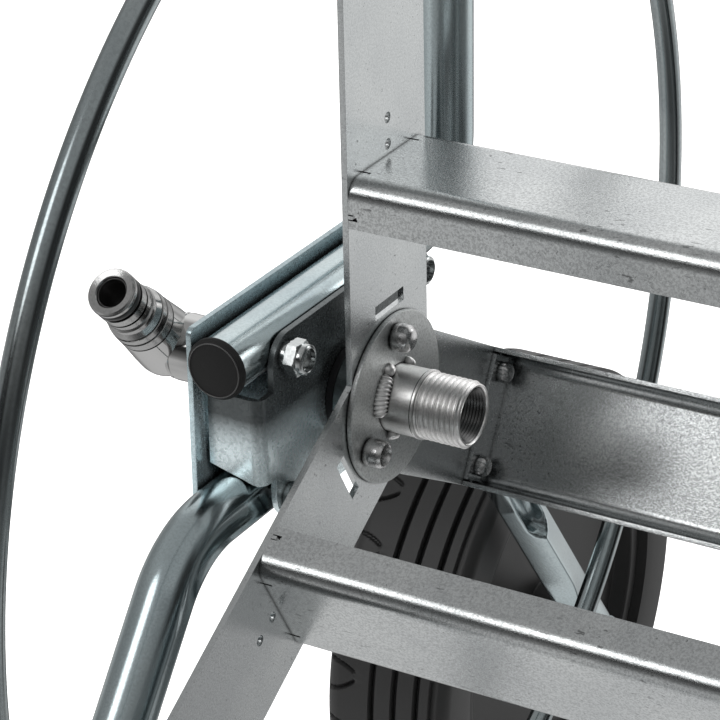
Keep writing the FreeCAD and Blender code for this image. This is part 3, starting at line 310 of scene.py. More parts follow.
def centre_line(corners, radii, spacing=4 * MM, steps=14):
    """Points along straight runs that are joined by tangent arcs."""
    points = [corners[0].copy()]

    def run_to(stop):
        count = max(1, int((stop - points[-1]).length / spacing))
        base = points[-1].copy()
        for k in range(1, count + 1):
            points.append(base.lerp(stop, k / count))

    for before, corner, after, radius in zip(corners, corners[1:], corners[2:], radii):
        inward, outward = (corner - before).normalized(), (after - corner).normalized()
        turn = inward.angle(outward)
        run = radius * math.tan(turn / 2)
        start = corner - inward * run
        run_to(start)
        normal = inward.cross(outward).normalized()
        centre = start + normal.cross(inward) * radius
        points += arc_points(centre, start, normal, turn, steps)[1:]
    run_to(corners[-1])
    return points


def sweep(points, section, side=X):
    """Rings along a line. section(distance) gives (across, side) offsets in metres."""
    rows, travelled = [], 0.0
    for i, point in enumerate(points):
        ahead = points[min(i + 1, len(points) - 1)] - points[max(i - 1, 0)]
        along = ahead.normalized()
        side = (side - along * side.dot(along)).normalized()
        across = along.cross(side)
        if i:
            travelled += (point - points[i - 1]).length
        rows.append([point + across * a + side * b for a, b in section(travelled)])
    return rows


def round_section(radius, count=48):
    """The same circle at every distance."""
    ring = [(radius * math.cos(2 * math.pi * k / count), radius * math.sin(2 * math.pi * k / count))
            for k in range(count)]
    return lambda distance: ring


def soft_min(a, b, k):
    """The lower of two values with a rounded change between them."""
    h = max(0.0, min(1.0, 0.5 + 0.5 * (b - a) / k))
    return b * (1 - h) + a * h - k * h * (1 - h)


def eased(share):
    """A share from 0 to 1 with a soft start and end; past them it stays."""
    share = min(1.0, max(0.0, share))
    return share * share * (3 - 2 * share)


def evened(ring, count):
    """The same closed outline with its points at even distances, from the same first point."""
    closed = ring + ring[:1]
    steps = [math.hypot(q[0] - p[0], q[1] - p[1]) for p, q in zip(closed, closed[1:])]
    pitch = sum(steps) / count
    points, walked, k = [], 0.0, 0
    for i in range(count):
        while walked + steps[k] < i * pitch and k < len(steps) - 1:
            walked += steps[k]
            k += 1
        share = (i * pitch - walked) / steps[k]
        p, q = closed[k], closed[k + 1]
        points.append((p[0] + (q[0] - p[0]) * share, p[1] + (q[1] - p[1]) * share))
    return points


def pressed_section(radius, reach, fade, tool, offset, soft, count=180):
    """A tube pressed in on the +side by a round tool, up to reach; past it the dent runs out over fade.

    The tool's radius, its middle's offset from the tube's and the softness are shares of the radius.
    """
    tool, offset = radius * tool, radius * offset

    def section(distance):
        place = offset + (radius + tool - offset) * eased((distance - reach) / fade)
        ring = []
        for k in range(4 * count):
            a = 2 * math.pi * k / (4 * count) - math.pi / 2
            c, s = math.cos(a), math.sin(a)
            r = radius
            if s > 0 and abs(place * c) < tool:
                hit = place * s - math.sqrt(tool * tool - (place * c) ** 2)
                r = soft_min(radius, hit, radius * soft)
            ring.append((r * c, r * s))
        return evened(ring, count)

    return section


def bevelled(names, mat, width=0.25, degrees=50):
    """CAD nodes that keep their shape: welded, with a small highlight on their edges."""
    for name in names:
        obj = nodes[name]
        obj.data.materials.clear()
        obj.data.materials.append(mat)
        for poly in obj.data.polygons:
            poly.use_smooth = True
        weld = obj.modifiers.new("weld", "WELD")
        weld.merge_threshold = 0.002 * MM
        flat = obj.modifiers.new("flat", "DECIMATE")
        flat.decimate_type = "DISSOLVE"
        flat.angle_limit = math.radians(0.8)
        if width:
            edge = obj.modifiers.new("edge", "BEVEL")
            edge.width = width * MM
            edge.segments = 2
            edge.limit_method = "ANGLE"
            edge.angle_limit = math.radians(degrees)
        split = obj.modifiers.new("split", "EDGE_SPLIT")
        split.split_angle = math.radians(32)
        normals = obj.modifiers.new("normals", "WEIGHTED_NORMAL")
        normals.weight = 90


def centres(name):
    """Middles of the separate solids of a node, sorted round the X axis."""
    mesh = nodes[name].data
    parent = list(range(len(mesh.vertices)))

    def root(i):
        while parent[i] != i:
            parent[i] = parent[parent[i]]
            i = parent[i]
        return i

    by_place = {}
    for vertex in mesh.vertices:
        key = tuple(round(c / (0.01 * MM)) for c in vertex.co)
        if key in by_place:
            parent[root(vertex.index)] = root(by_place[key])
        by_place[key] = vertex.index
    for edge in mesh.edges:
        a, b = edge.vertices
        parent[root(a)] = root(b)
    groups = {}
    for vertex in mesh.vertices:
        groups.setdefault(root(vertex.index), []).append(vertex.co)
    middles = []
    for group in groups.values():
        low = Vector([min(c[i] for c in group) for i in range(3)])
        high = Vector([max(c[i] for c in group) for i in range(3)])
        middles.append((low + high) / 2)
    return sorted(middles, key=lambda v: math.atan2(v.z, v.y))


# ---------------------------------------------------------------- drum

SIDES = {"left": -1, "right": 1}
SPOKES = ("up", "front", "rear")
bevelled(["arm_%s_%s" % (side, spoke) for side in SIDES for spoke in SPOKES], ARM, 0.3)
bevelled(["core_channel_" + spoke for spoke in SPOKES], SHEET, 0.2)
bevelled(["hub_disc_left", "hub_disc_right"], DISC, 0.45)

for side, sign in SIDES.items():
    low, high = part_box("rim_ring_" + side)
    rod_r = (high.x - low.x) / 2
    ring_r = (high.y - low.y) / 2 - rod_r
    profile = [((low.x + high.x) / 2 / MM + rod_r / MM * math.cos(a), ring_r / MM + rod_r / MM * math.sin(a))
               for a in (2 * math.pi * k / 28 for k in range(28))]
    turned("rim_rod_" + side, profile, Vector(), X, ROD, "drum", "zinc_plate", "rim_ring_" + side,
           segments=360, degrees=60)


def blind_rivet(place, sign, seat, bulb, head_seat):
    """Set rivet: bulb is its profile on the inside, and a flange head lies on the outside."""
    inside = grid(spin([(0, 0.0)] + bulb, Vector((seat, place.y, place.z)), X * -sign, 36), True)
    head = [(0, 0.0), (0, 4.0), (0.35, 4.0), (0.8, 3.2), (1.0, 1.6), (0.95, 0.0)]
    outside = grid(spin(head, Vector((head_seat, place.y, place.z)), X * sign, 32), True)
    return merge(inside, outside)


DOME = [(0, 3.3), (0.9, 3.55), (2.2, 3.5), (3.1, 3.1), (3.8, 2.3), (4.15, 1.3), (4.25, 0.0)]
BARREL = [(0, 3.9), (0.8, 4.3), (2.2, 4.5), (4.0, 4.4), (5.2, 4.0), (5.9, 3.2), (6.3, 2.2), (6.4, 0.0)]
OPEN_BARREL = BARREL[:3] + [(4.6, 4.35), (5.8, 4.15), (6.3, 3.8), (6.3, 3.45), (5.9, 3.15), (3.0, 2.9),
                            (2.9, 0.0)]
TAB_SEAT, DISC_SEAT = 1.5 * MM, 1.8 * MM                  # thickness of what the inner ends press on
for side, sign in SIDES.items():
    face = abs(FACE) * sign
    outside = face + SHEET_THICK * sign
    shells = [blind_rivet(c, sign, face - TAB_SEAT * sign, DOME, outside)
              for c in centres("channel_rivets_" + side)]
    piece("tab_rivets_" + side, *merge(*shells), RIVET, "drum", "zinc_plate", "channel_rivets_" + side,
          degrees=60)
    shells = [blind_rivet(c, sign, face - DISC_SEAT * sign, OPEN_BARREL if c.y < -5 * MM else BARREL, outside)
              for c in centres("hub_rivets_" + side)]
    piece("disc_rivets_" + side, *merge(*shells), RIVET, "drum", "zinc_plate", "hub_rivets_" + side,
          degrees=45)

# Outlet nipple with its G 1/2 thread, and the shaft behind it, in millimetres.
NIPPLE_END = SHAFT[1].x / MM
THREAD = 15.5
THREAD_START = NIPPLE_END - THREAD
PITCH = 1.814
CREST = 20.955 / 2
THREAD_DEPTH = 0.9
NIPPLE_R = 10.65
BORE_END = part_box("ring_nut_left")[0].x / MM - 0.5


def thread_radius(along, angle):
    """Rounded 55 degree thread with slightly worn crests that starts and ends softly."""
    phase = ((along - THREAD_START) / PITCH - angle / (2 * math.pi)) % 1.0
    wave = 0.6 * (1 - abs(2 * phase - 1)) + 0.4 * (0.5 + 0.5 * math.cos(4 * math.pi * phase))
    worn = 0.10 * noise.noise(Vector((along * 0.9, 2 * math.cos(angle), 2 * math.sin(angle))))
    ends = min(1.0, max(0.0, (along - THREAD_START) / 0.9))
    tip = max(0.0, along - (NIPPLE_END - 1.1))
    return CREST + worn * wave - THREAD_DEPTH * (1 - wave) * ends - tip * 0.75


def nipple():
    """Pipe with its thread and a plain bore."""
    segments, steps = 128, 260
    collar = [(FACE / MM - 2, NIPPLE_R), (THREAD_START - 1.3, NIPPLE_R), (THREAD_START - 1.2, 10.4),
              (THREAD_START - 1.0, 10.4), (THREAD_START - 0.8, 10.95), (THREAD_START - 0.2, 10.95),
              (THREAD_START, 10.2)]
    rows = spin(collar, segments=segments)
    for i in range(steps + 1):
        along = THREAD_START + 0.25 + (THREAD - 0.25) * i / steps
        rows += spin([(along, 1.0)], segments=segments, bulge=lambda x, r, a: thread_radius(x, a))
    shoulder, back = BORE_END, SHAFT[0].x / MM
    bore = [(NIPPLE_END, 9.35), (NIPPLE_END - 0.15, 9.1), (NIPPLE_END - 0.5, 8.75), (shoulder + 4, 8.75),
            (shoulder + 1, 5.5), (back, 5.5), (back, 8.0), (back + 0.5, 8.5), (shoulder, 8.5),
            (shoulder, NIPPLE_R)]
    rows += spin(bore, segments=segments)
    return grid(rows, False, True)


def bore_shade_shell():
    """Dark sheet laid inside the bore as painted shade, ridged with the marks of the boring tool."""
    ridges, pitch = 22, 1.05
    marks = [(NIPPLE_END - 0.7, 8.7)]
    for k in range(ridges):
        along = NIPPLE_END - 1.3 - k * pitch
        marks += [(along, 8.15), (along - 0.5, 8.6)]
    return marks + [(marks[-1][0], 8.8), (NIPPLE_END - 0.7, 8.8)]


piece("outlet_nipple", *nipple(), PIPE, "drum", "zinc_plate", "inlet_shaft", degrees=60)
# A dark sheet inside the nipple's bore: painted shade.
turned("outlet_bore_shade", bore_shade_shell(), Vector(), X, BORE_SHADE, "drum", "zinc_plate", segments=96, degrees=60)


def weld_bead(start, stop, thick):
    """Rippled fillet of weld round the nipple's root between two angles, in degrees."""
    rows = []
    steps = max(12, int(math.radians(abs(stop - start)) * NIPPLE_R / 0.09))
    for i in range(steps + 1):
        t = i / steps
        a = math.radians(start + (stop - start) * t)
        out = Vector((0, math.cos(a), math.sin(a)))
        ends = math.sqrt(max(0.0, 1 - abs(2 * t - 1) ** 7))
        swell = 1 + 0.10 * noise.noise(out * 5)
        spine = X * (FACE / MM + 1.9) + out * (NIPPLE_R - 0.25 + thick * 0.35)
        row = []
        for b in (2 * math.pi * k / 32 for k in range(32)):
            crescent = 0.085 * math.sin(i * 0.5 + 3.4 * math.cos(b) ** 2)
            size = max(0.05, thick * ends * (swell + crescent))
            row.append((spine + (X * math.cos(b) * 1.1 + out * math.sin(b)) * size) * MM)
        rows.append(row)
    return grid(rows)


def weld_ball(angle, size):
    """The round end of a weld run."""
    a = math.radians(angle)
    centre = (X * (FACE / MM + 1.5) + Vector((0, math.cos(a), math.sin(a))) * 12.0) * MM
    arc = [(size * math.cos(t), size * math.sin(t)) for t in (math.pi * k / 24 for k in range(25))]
    return grid(spin(arc, centre, X, 48))


beads = [weld_bead(121, 188, 2.75), weld_ball(113, 2.5), weld_bead(40, 62, 1.9), weld_bead(240, 264, 2.1),
         weld_bead(-25, 20, 2.0)]
piece("weld_beads", *merge(*beads), PIPE, "drum", "zinc_plate", degrees=60)

bevelled(["crank_arm", "crank_bolt", "knob_pin", "crank_shaft"], ROD, 0.3)
bevelled(["spacer_sleeve_left", "spacer_sleeve_right"], ROD, 0.3)
bevelled(["swivel_circlip"], ROD, 0)
bevelled(["swivel_o_ring"], RUBBER, 0)
bevelled(["crank_knob"], CAP, 0)


# ---------------------------------------------------------------- side plates and their bolts

bevelled(["outer_plate_left", "outer_plate_right"], OUTER, 0.35)
bevelled(["inner_plate_left", "inner_plate_right"], INNER, 0.35)
bevelled(["bearing_left", "bearing_right"], BUSH, 0.4)
bevelled(["ring_nut_left", "ring_nut_right"], CHROME, 0.6)

FLATS = 10.0                                              # M6 nut and bolt head, in millimetres


def hex_radius(angle, flats):
    """Distance from the middle to a hexagon's side."""
    local = (angle + math.pi / 6) % (math.pi / 3) - math.pi / 6
    return flats / 2 / math.cos(local)


def hex_shell(place, axis, layers, flats, segments=72):
    """A hexagonal piece: each layer is (along, round radius that trims the corners)."""
    rows = []
    for along, limit in layers:
        rows += spin([(along, limit)], place, axis, segments,
                     bulge=lambda x, r, a: min(r, hex_radius(a, flats)))
    return grid(rows)


def lock_nut_shell(place, axis):
    """Lock nut: a narrow foot, a hexagon with chamfered corners, and a collar rolled over its nylon ring."""
    return hex_shell(place, axis, [
        (0, 0.01), (0, 4.3), (1.9, 4.3), (2.0, 4.6), (2.1, 5.0), (2.45, 5.6), (2.6, 5.85), (5.7, 5.85),
        (5.9, 5.5), (6.3, 4.9), (6.4, 4.75), (7.5, 4.7), (8.0, 4.5), (8.3, 4.1), (8.4, 3.7), (8.3, 3.5),
        (7.6, 3.4), (6.9, 3.3), (6.8, 0.01)], FLATS)


def bolt_shell(place, axis):
    """Bolt head and the shank inside the nut."""
    head = [(0, 0.01), (0, 5.8), (3.3, 5.8), (3.8, 5.2), (4.0, 4.6), (4.0, 0.01)]
    shank = grid(spin([(-25.5, 0.01), (-25.5, 2.4), (-25.0, 2.95), (0, 2.95), (0, 0.01)], place, axis, 24))
    return merge(hex_shell(place, axis, head, FLATS), shank)


for side, sign in SIDES.items():
    inner = PLATE_IN * -sign
    outer = PLATE_LOW.x * -sign
    places = centres("lock_nuts_" + side)
    nuts = [lock_nut_shell(Vector((inner, c.y, c.z)), X * -sign) for c in places]
    piece("nuts_" + side, *merge(*nuts), BRIGHT, "frame", "zinc_plate", "lock_nuts_" + side, degrees=28)
    bolts = [bolt_shell(Vector((outer, c.y, c.z)), X * sign) for c in places]
    piece("bolts_" + side, *merge(*bolts), BRIGHT, "frame", "zinc_plate", "frame_bolts_" + side, degrees=28)


# ---------------------------------------------------------------- bent tubes

low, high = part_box("handle_tube")
caps_low, caps_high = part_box("tube_caps")
RUN_X = low.x + TUBE_R
RUN_Z = (caps_low.z + caps_high.z) / 2
BACK, CROWN = high.y - TUBE_R, high.z - TUBE_R
front = PLATE_LOW.y                                       # the caps stand in front of the plates

handle_corners = [(RUN_X, front, RUN_Z), (RUN_X, BACK, RUN_Z), (RUN_X, BACK, CROWN), (0, BACK, CROWN)]
handle_half = centre_line([Vector(c) for c in handle_corners], radii=[26 * MM, 60 * MM],
                          spacing=12 * MM, steps=18)
half = grid(sweep(handle_half, round_section(TUBE_R, 64)), closed_ends=True)
piece("handle_bend", *merge(half, mirrored(half)), TUBE, "frame", "zinc_plate", "handle_tube", degrees=50)

cap_profile = [(0, 0.0), (0, 8.3), (0.08, 8.6), (0.5, 9.15), (0.65, 9.2), (0.8, 9.45), (1.1, 9.65),
               (2.0, 9.7), (2.2, 9.5), (2.2, 7.3), (14, 7.3), (14, 0.0)]
shells = [grid(spin(cap_profile, Vector((x, caps_low.y, RUN_Z)), Y, 64)) for x in (RUN_X, -RUN_X)]
piece("end_caps", *merge(*shells), CAP, "frame", "black_plastic", "tube_caps")
# A real raised bead on each cap face, coloured lighter than the cap: a painted highlight along its edge.
bead = [(-0.05 + 0.22 * math.cos(a), 8.45 + 0.22 * math.sin(a)) for a in (math.pi * k / 6 for k in range(12))]
shells = [grid(spin(bead, Vector((x, caps_low.y, RUN_Z)), Y, 96), False, True) for x in (RUN_X, -RUN_X)]
piece("cap_beads", *merge(*shells), CAP_BEAD_HIGHLIGHT, "frame", "black_plastic", degrees=60)

grip_low, grip_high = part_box("handle_grip")
half_grip = (grip_high.x - grip_low.x) / 2 / MM
grip_r = (grip_high.z - grip_low.z) / 2 / MM
grip = [(-half_grip, 9.0), (-half_grip, grip_r - 3.5), (-half_grip + 1.2, grip_r - 1.2),
        (-half_grip + 3.8, grip_r)]
grip += [(-x, r) for x, r in reversed(grip)]
turned("grip_sleeve", grip, Vector((0, BACK, CROWN)), X, FOAM, "frame", "grip_foam", "handle_grip",
       segments=64)

leg_low, leg_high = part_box("front_leg")
foot_low, foot_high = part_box("foot_sleeves")
FLOOR = foot_low.z
bar = Vector((RUN_X, leg_low.y + TUBE_R, leg_low.z + TUBE_R))
bolt_z = min(c.z for c in centres("lock_nuts_left"))
knee = Vector((RUN_X, -78.5 * MM, bolt_z + 1.5 * MM))
leg_top = Vector((RUN_X, leg_high.y, knee.z))
leg_half = centre_line([leg_top, knee, bar, Vector((0, bar.y, bar.z))], radii=[36 * MM, 55 * MM],
                       spacing=1.5 * MM, steps=24)
flattened = pressed_section(TUBE_R, reach=48 * MM, fade=30 * MM, tool=0.55, offset=1.10, soft=0.22)
half = grid(sweep(leg_half, flattened))
piece("leg_hoop", *merge(half, mirrored(half)), TUBE, "frame", "zinc_plate", "front_leg", degrees=60)

sleeve_r = (foot_high.z - foot_low.z) / 2 / MM
sleeve = [(-23, 9.0), (-23, sleeve_r - 0.6), (-22.4, sleeve_r), (22.4, sleeve_r), (23, sleeve_r - 0.6),
          (23, 9.0)]
shells = [grid(spin(sleeve, Vector((c.x, bar.y, bar.z)), X, 48), False, True)
          for c in centres("foot_sleeves")]
piece("foot_tubes", *merge(*shells), RUBBER, "frame", "black_rubber", "foot_sleeves")


# ---------------------------------------------------------------- rear struts, axle and wheels

axle_low, axle_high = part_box("axle")
AXLE = Vector((0, (axle_low.y + axle_high.y) / 2, (axle_low.z + axle_high.z) / 2))
STRUT_R = 8 * MM
strut_x = PLATE_IN - SHEET_THICK - STRUT_R
strut_top = Vector((strut_x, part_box("rear_strut_left")[0].y, bolt_z))
strut_knee = Vector((strut_x, 70 * MM, bolt_z))
strut_end = Vector((strut_x, AXLE.y, AXLE.z))


def rotated(x, y, turn):
    """A flat point turned about the origin."""
    return x * math.cos(turn) - y * math.sin(turn), x * math.sin(turn) + y * math.cos(turn)


def strut_shell():
    """Round tube that turns into a ridged bar with a trough pressed in, and then into a flat tongue."""
    tip = strut_end + (strut_end - strut_knee).normalized() * 8 * MM
    line = centre_line([strut_top, strut_knee, tip], radii=[30 * MM], spacing=1 * MM, steps=24)
    total = sum((b - a).length for a, b in zip(line, line[1:]))
    ridge_turn, dent_turn = math.radians(-26), math.radians(-14)
    ridge_start, ridge_fade = 126 * MM, 18 * MM
    dent_end, dent_fade, dent_half = 158 * MM, 8 * MM, 5.3 * MM
    flat_start, flat_fade = total - 64 * MM, 42 * MM

    def section(distance):
        flat = eased((distance - flat_start) / flat_fade)
        ridge = min(1.0, max(0.0, (distance - ridge_start) / ridge_fade)) * (1 - flat)
        ring = []
        for a in (2 * math.pi * k / 720 - math.pi / 2 - ridge_turn for k in range(720)):
            across, up = STRUT_R * math.cos(a), STRUT_R * math.sin(a)
            if up > 0:
                roof = 1.05 * STRUT_R - math.hypot(across, 0.08 * STRUT_R)
                up += ridge * min(0.0, max(0.0, roof) - up)
            across, up = rotated(across, up, ridge_turn - dent_turn)
            inside = 1 - math.hypot(across / dent_half, max(0.0, distance - dent_end) / dent_fade)
            if up > 0:
                floor = STRUT_R * (0.05 + 0.35 * (across / dent_half) ** 2)
                up += eased(inside / 0.45) * min(0.0, floor - up)
            ring.append(rotated(across, up, dent_turn))
        return [(x * (1 + 0.32 * flat), y * (1 - 0.625 * flat)) for x, y in evened(ring, 180)]

    body = grid(sweep(line, section))
    nose_profile = [(-3.0, 0.01), (-3.0, 9.9), (-2.3, 10.5), (2.3, 10.5), (3.0, 9.9), (3.0, 0.01)]
    return merge(body, grid(spin(nose_profile, tip, X, 64)))


shell = strut_shell()
piece("strut_left", *shell, TUBE, "frame", "zinc_plate", "rear_strut_left", degrees=75)
piece("strut_right", *mirrored(shell), TUBE, "frame", "zinc_plate", "rear_strut_right", degrees=75)
bevelled(["axle", "axle_spacers"], ROD, 0.3)
bevelled(["axle_caps"], CAP, 1.0)

tyre_low, tyre_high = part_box("tyre_left")
rim_low, rim_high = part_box("wheel_rim_left")
WHEEL_R = (tyre_high.z - tyre_low.z) / 2 / MM
HALF_TREAD = (tyre_high.x - tyre_low.x) / 2 / MM
SEAT_R = (rim_high.z - rim_low.z) / 2 / MM
SHOULDER = 7.0
SLOTS, SLOT_PHASE = 52, 0.58                              # how many round the tyre, and where they start
SLOT_OUT, SLOT_IN, SLOT_DEPTH = -23.0, -11.5, 2.0         # reach across the tread, and depth


def tyre_radius(along, radius, angle):
    """Cuts thin, slightly curved slots into the tread's outer shoulder."""
    if radius < WHEEL_R - SHOULDER - 1 or not SLOT_OUT < along < SLOT_IN:
        return radius
    turn = angle * SLOTS / (2 * math.pi) - SLOT_PHASE
    bend = 0.0030 if int(turn) % 2 else -0.0020
    lean = bend * (along - SLOT_OUT + 1) ** 2
    slot = min(1.0, max(0.0, 1 - abs((turn + lean) % 1.0 - 0.5) / 0.075) * 2.2)
    return radius - SLOT_DEPTH * slot * min(1.0, (SLOT_IN - along) / 1.5, (along - SLOT_OUT) / 1.5)


def tread_profile():
    """Tyre section: seat, side walls, round shoulders, three grooves and a step towards the frame."""
    left = [(-HALF_TREAD + 4, SEAT_R), (-HALF_TREAD + 0.8, SEAT_R + 2.5), (-HALF_TREAD, SEAT_R + 7)]
    for k in range(21):
        a = math.pi / 40 * k
        left.append((-HALF_TREAD + SHOULDER * (1 - math.cos(a)), WHEEL_R - SHOULDER * (1 - math.sin(a))))
    middle = [(-17.6 + 0.4 * k, WHEEL_R) for k in range(17)]
    for x, half, deep in ((-4.6, 1.15, 3.2), (4.6, 1.15, 3.2), (13.8, 1.15, 3.2), (19.9, 0.9, 1.8)):
        middle += [(x - half - 0.25, WHEEL_R), (x - half, WHEEL_R - 0.3), (x - half + 0.1, WHEEL_R - deep),
                   (x + half - 0.1, WHEEL_R - deep), (x + half, WHEEL_R - 0.3), (x + half + 0.25, WHEEL_R)]
    lowered = [(-x, min(r, WHEEL_R - 1.2)) for x, r in reversed(left) if -x > 21.3]
    return left + middle[:-2] + [(21.0, WHEEL_R - 1.2)] + lowered


for side, sign in SIDES.items():
    low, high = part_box("tyre_" + side)
    hub = Vector(((low.x + high.x) / 2, AXLE.y, AXLE.z))
    turned("tread_" + side, tread_profile(), hub, X * -sign, TYRE, "wheel_" + side, "tyre_rubber",
           "tyre_" + side, segments=24 * SLOTS, degrees=40, bulge=tyre_radius)
bevelled(["wheel_rim_left", "wheel_rim_right"], RIM, 0.8)


# ---------------------------------------------------------------- swivel inlet

ELBOW_X = (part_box("quick_plug")[0].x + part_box("quick_plug")[1].x) / 2
BRANCH = Vector((0, -1, 1)).normalized()
ELBOW = Vector((ELBOW_X, 0, 0))
nut_low, nut_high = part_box("union_nut")
nut_at, nut_to = nut_low.x / MM - 4.2, nut_high.x / MM
turned("swivel_nut", [
    (nut_at, 8.9), (nut_at, 10.5), (nut_at + 0.2, 10.75), (nut_at + 1.3, 10.85), (nut_at + 1.5, 10.6),
    (nut_at + 1.8, 10.55), (nut_at + 2.0, 10.95), (nut_at + 5.0, 10.9), (nut_to - 2.0, 10.6),
    (nut_to - 0.5, 10.2), (nut_to, 9.6), (nut_to, 8.6)], Vector(), X, CHROME, "inlet", "chrome_plate",
    "union_nut", segments=96)
elbow_x = ELBOW_X / MM
collar = grid(spin([(elbow_x, 0.01), (elbow_x, 8.9), (nut_at - 0.5, 8.9), (nut_at - 0.35, 8.6),
                    (nut_at - 0.35, 0.01)], Vector(), X, 96))
ball = grid(spin([(11.0 * math.cos(a), 11.0 * math.sin(a)) for a in (math.pi * k / 32 for k in range(33))],
                 ELBOW, BRANCH, 96))
branch = grid(spin([(0, 0.01), (0, 11.0), (6, 10.7), (12.0, 10.2), (16.4, 9.9), (16.4, 0.01)],
                   ELBOW, BRANCH, 96))
piece("elbow_body", *merge(collar, ball, branch), CHROME, "inlet", "chrome_plate", "inlet_elbow", degrees=30)

NOSE_R = 8.0                                              # what a quick coupling grips, in millimetres
plug = [(16.5, 0.01), (16.5, 9.2), (16.9, 9.75), (20.2, 9.75), (20.4, 9.2), (20.9, 9.2), (21.2, 9.7),
        (23.2, 9.5), (23.4, 8.9), (24.0, 8.9), (24.2, 9.35), (26.2, 8.4), (26.8, 8.5), (28.2, 8.4),
        (28.6, 7.9), (31.2, 7.9), (31.3, 6.0), (32.1, 6.0), (32.2, 7.95), (35.3, 7.95), (35.5, 6.4),
        (38.9, 6.4), (39.1, NOSE_R), (40.2, NOSE_R), (40.4, 7.7), (40.7, 7.7), (40.9, 7.85), (41.3, 7.4),
        (41.0, 5.4), (40.7, 5.1), (40.2, 4.9), (28.0, 4.9), (28.0, 0.01)]
piece("plug_body", *grid(spin(plug, ELBOW, BRANCH, 128)), TURNED, "inlet", "chrome_plate", "quick_plug",
      degrees=25)
seal = [(37.2 + 1.6 * math.cos(a), 6.65 + 1.35 * math.sin(a))
        for a in (2 * math.pi * k / 24 for k in range(24))]
turned("plug_seal", seal, ELBOW, BRANCH, RUBBER, "inlet", "black_rubber", "plug_o_ring", degrees=60)
# A dark sheet inside the plug's bore: painted shade.
plug_shade_profile = [(27.9, 0.01), (27.9, 4.86), (40.1, 4.86), (40.1, 4.7), (28.6, 4.7), (28.6, 0.01)]
piece("plug_bore", *grid(spin(plug_shade_profile, ELBOW, BRANCH, 64)), BORE_SHADE, "inlet", "chrome_plate")


# ---------------------------------------------------------------- studio


# Tones by height, and round patches: an aim, the cosines where each starts and is full, and its strength.
BANDS = ((-1.0, 0.80), (-0.6, 0.50), (-0.40, 0.60), (-0.15, 0.50), (0.0, 0.30), (0.3, 0.34), (0.62, 0.48),
         (0.9, 0.45))
SHADES = (((0.46, -0.78, -0.35), 0.45, 0.90, 0.20), ((-0.35, -0.93, 0.14), 0.86, 0.955, 0.10),
          ((-0.47, 0.77, -0.44), 0.85, 0.97, 0.45), ((0.48, 0.62, -0.62), 0.93, 0.99, 0.70),
          ((0.94, 0.20, 0.15), 0.74, 0.92, 0.12))
PANELS = (((-0.34, 0.85, 0.40), 0.78, 0.96, 0.80), ((-0.38, -0.70, 0.62), 0.968, 0.984, 2.60),
          ((0.44, 0.77, 0.47), 0.86, 0.97, 0.70), ((0.55, 0.77, 0.25), 0.985, 0.993, 1.70),
          ((0.48, 0.86, -0.20), 0.90, 0.985, 0.45), ((-0.34, -0.85, -0.42), 0.80, 0.97, 0.20))


def area_light(name, place, target, width, height, power):
    """A softbox that lights matt surfaces; the plated metal mirrors the room instead."""
    data = bpy.data.lights.new(name, "AREA")
    data.shape, data.size, data.size_y = "RECTANGLE", width, height
    data.energy = power
    light = bpy.data.objects.new(name, data)
    light.location = place
    light.rotation_euler = (Vector(target) - Vector(place)).to_track_quat("-Z", "Y").to_euler()
    light.visible_glossy = False
    bpy.context.scene.collection.objects.link(light)


def facing(tree, direction, aim):
    """Cosine between the looked-up direction and an aim."""
    node = add(tree, "ShaderNodeVectorMath", operation="DOT_PRODUCT")
    tree.links.new(direction, node.inputs[0])
    node.inputs[1].default_value = Vector(aim).normalized()
    return node.outputs["Value"]


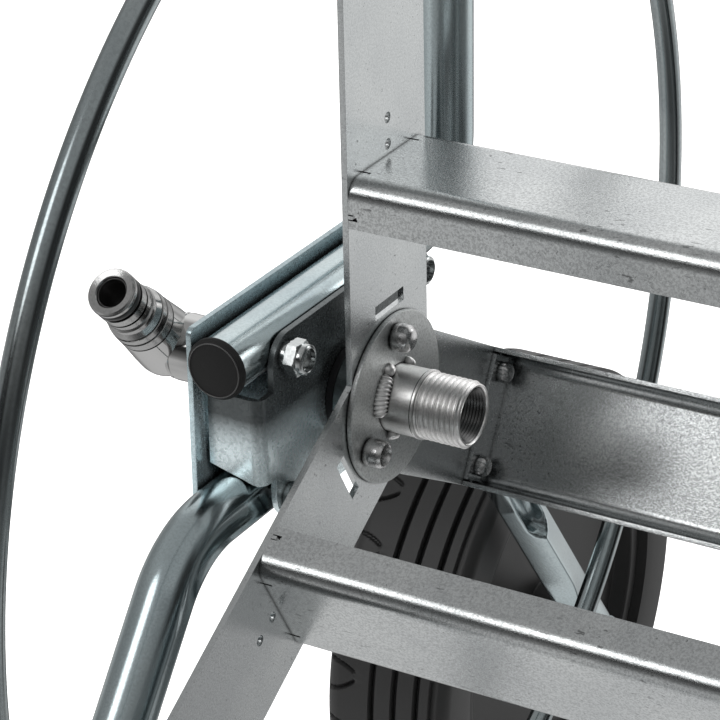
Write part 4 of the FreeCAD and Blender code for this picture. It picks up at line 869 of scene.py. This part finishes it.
def room(tree, background):
    """Soft room: pale floor below, a bright wall behind, a darker side where the viewer stands."""
    direction = add(tree, "ShaderNodeTexCoord").outputs["Generated"]
    split = add(tree, "ShaderNodeSeparateXYZ")
    tree.links.new(direction, split.inputs["Vector"])
    height = math_node(tree, "MULTIPLY_ADD", split.outputs["Z"], 0.5)
    height.node.inputs[2].default_value = 0.5
    total = ramp(tree, height, *((0.5 + 0.5 * z, tone) for z, tone in BANDS))
    for aim, start, full, left in SHADES:
        shade = ramp(tree, facing(tree, direction, aim), (start, 1.0), (full, left))
        total = math_node(tree, "MULTIPLY", total, shade)
    for aim, start, full, strength in PANELS:
        glow = ramp(tree, facing(tree, direction, aim), (start, 0.0), (full, 1.0))
        total = math_node(tree, "ADD", total, math_node(tree, "MULTIPLY", glow, strength))
    tree.links.new(total, background.inputs["Color"])


def studio():
    """The floor, the room and its lights."""
    size = 40.0
    mesh = bpy.data.meshes.new("floor")
    mesh.from_pydata([(-size, -size, FLOOR), (size, -size, FLOOR), (size, size, FLOOR), (-size, size, FLOOR)],
                     [], [(0, 1, 2, 3)])
    floor = bpy.data.objects.new("floor", mesh)
    bpy.context.scene.collection.objects.link(floor)
    paper, tree, shader = material("paper", (0.92, 0.92, 0.92), 0.0, 0.9)
    shader.inputs["Emission Color"].default_value = (1, 1, 1, 1)
    shader.inputs["Emission Strength"].default_value = 0.55
    floor.data.materials.append(paper)
    floor.visible_glossy = False

    world = bpy.data.worlds.new("studio")
    bpy.context.scene.world = world
    world.use_nodes = True
    room(world.node_tree, world.node_tree.nodes["Background"])
    area_light("key", (-1.3, -0.9, 1.7), (0, 0, 0), 0.9, 0.9, 34)
    area_light("fill", (1.6, -0.7, 0.9), (0, 0, 0), 0.8, 1.2, 16)
    area_light("back", (0.2, 1.9, 1.2), (0, 0, 0), 1.6, 0.8, 26)


def camera():
    """A long lens from the crank side, a little above the hub."""
    data = bpy.data.cameras.new("camera")
    data.lens, data.sensor_width = 154.1, 36.0
    data.clip_start, data.clip_end = 0.05, 30
    cam = bpy.data.objects.new("camera", data)
    place = Vector((0.28884, -0.72917, 0.41699))
    ahead = Vector((-0.4574, 0.7763, -0.4337)).normalized()
    roll = math.radians(-1.04)
    turn = ahead.to_track_quat("-Z", "Y").to_matrix() @ Matrix.Rotation(roll, 3, "Z")
    cam.matrix_world = Matrix.Translation(place) @ turn.to_4x4()
    bpy.context.scene.collection.objects.link(cam)
    bpy.context.scene.camera = cam


studio()
camera()
bpy.context.scene.view_settings.view_transform = "Standard"
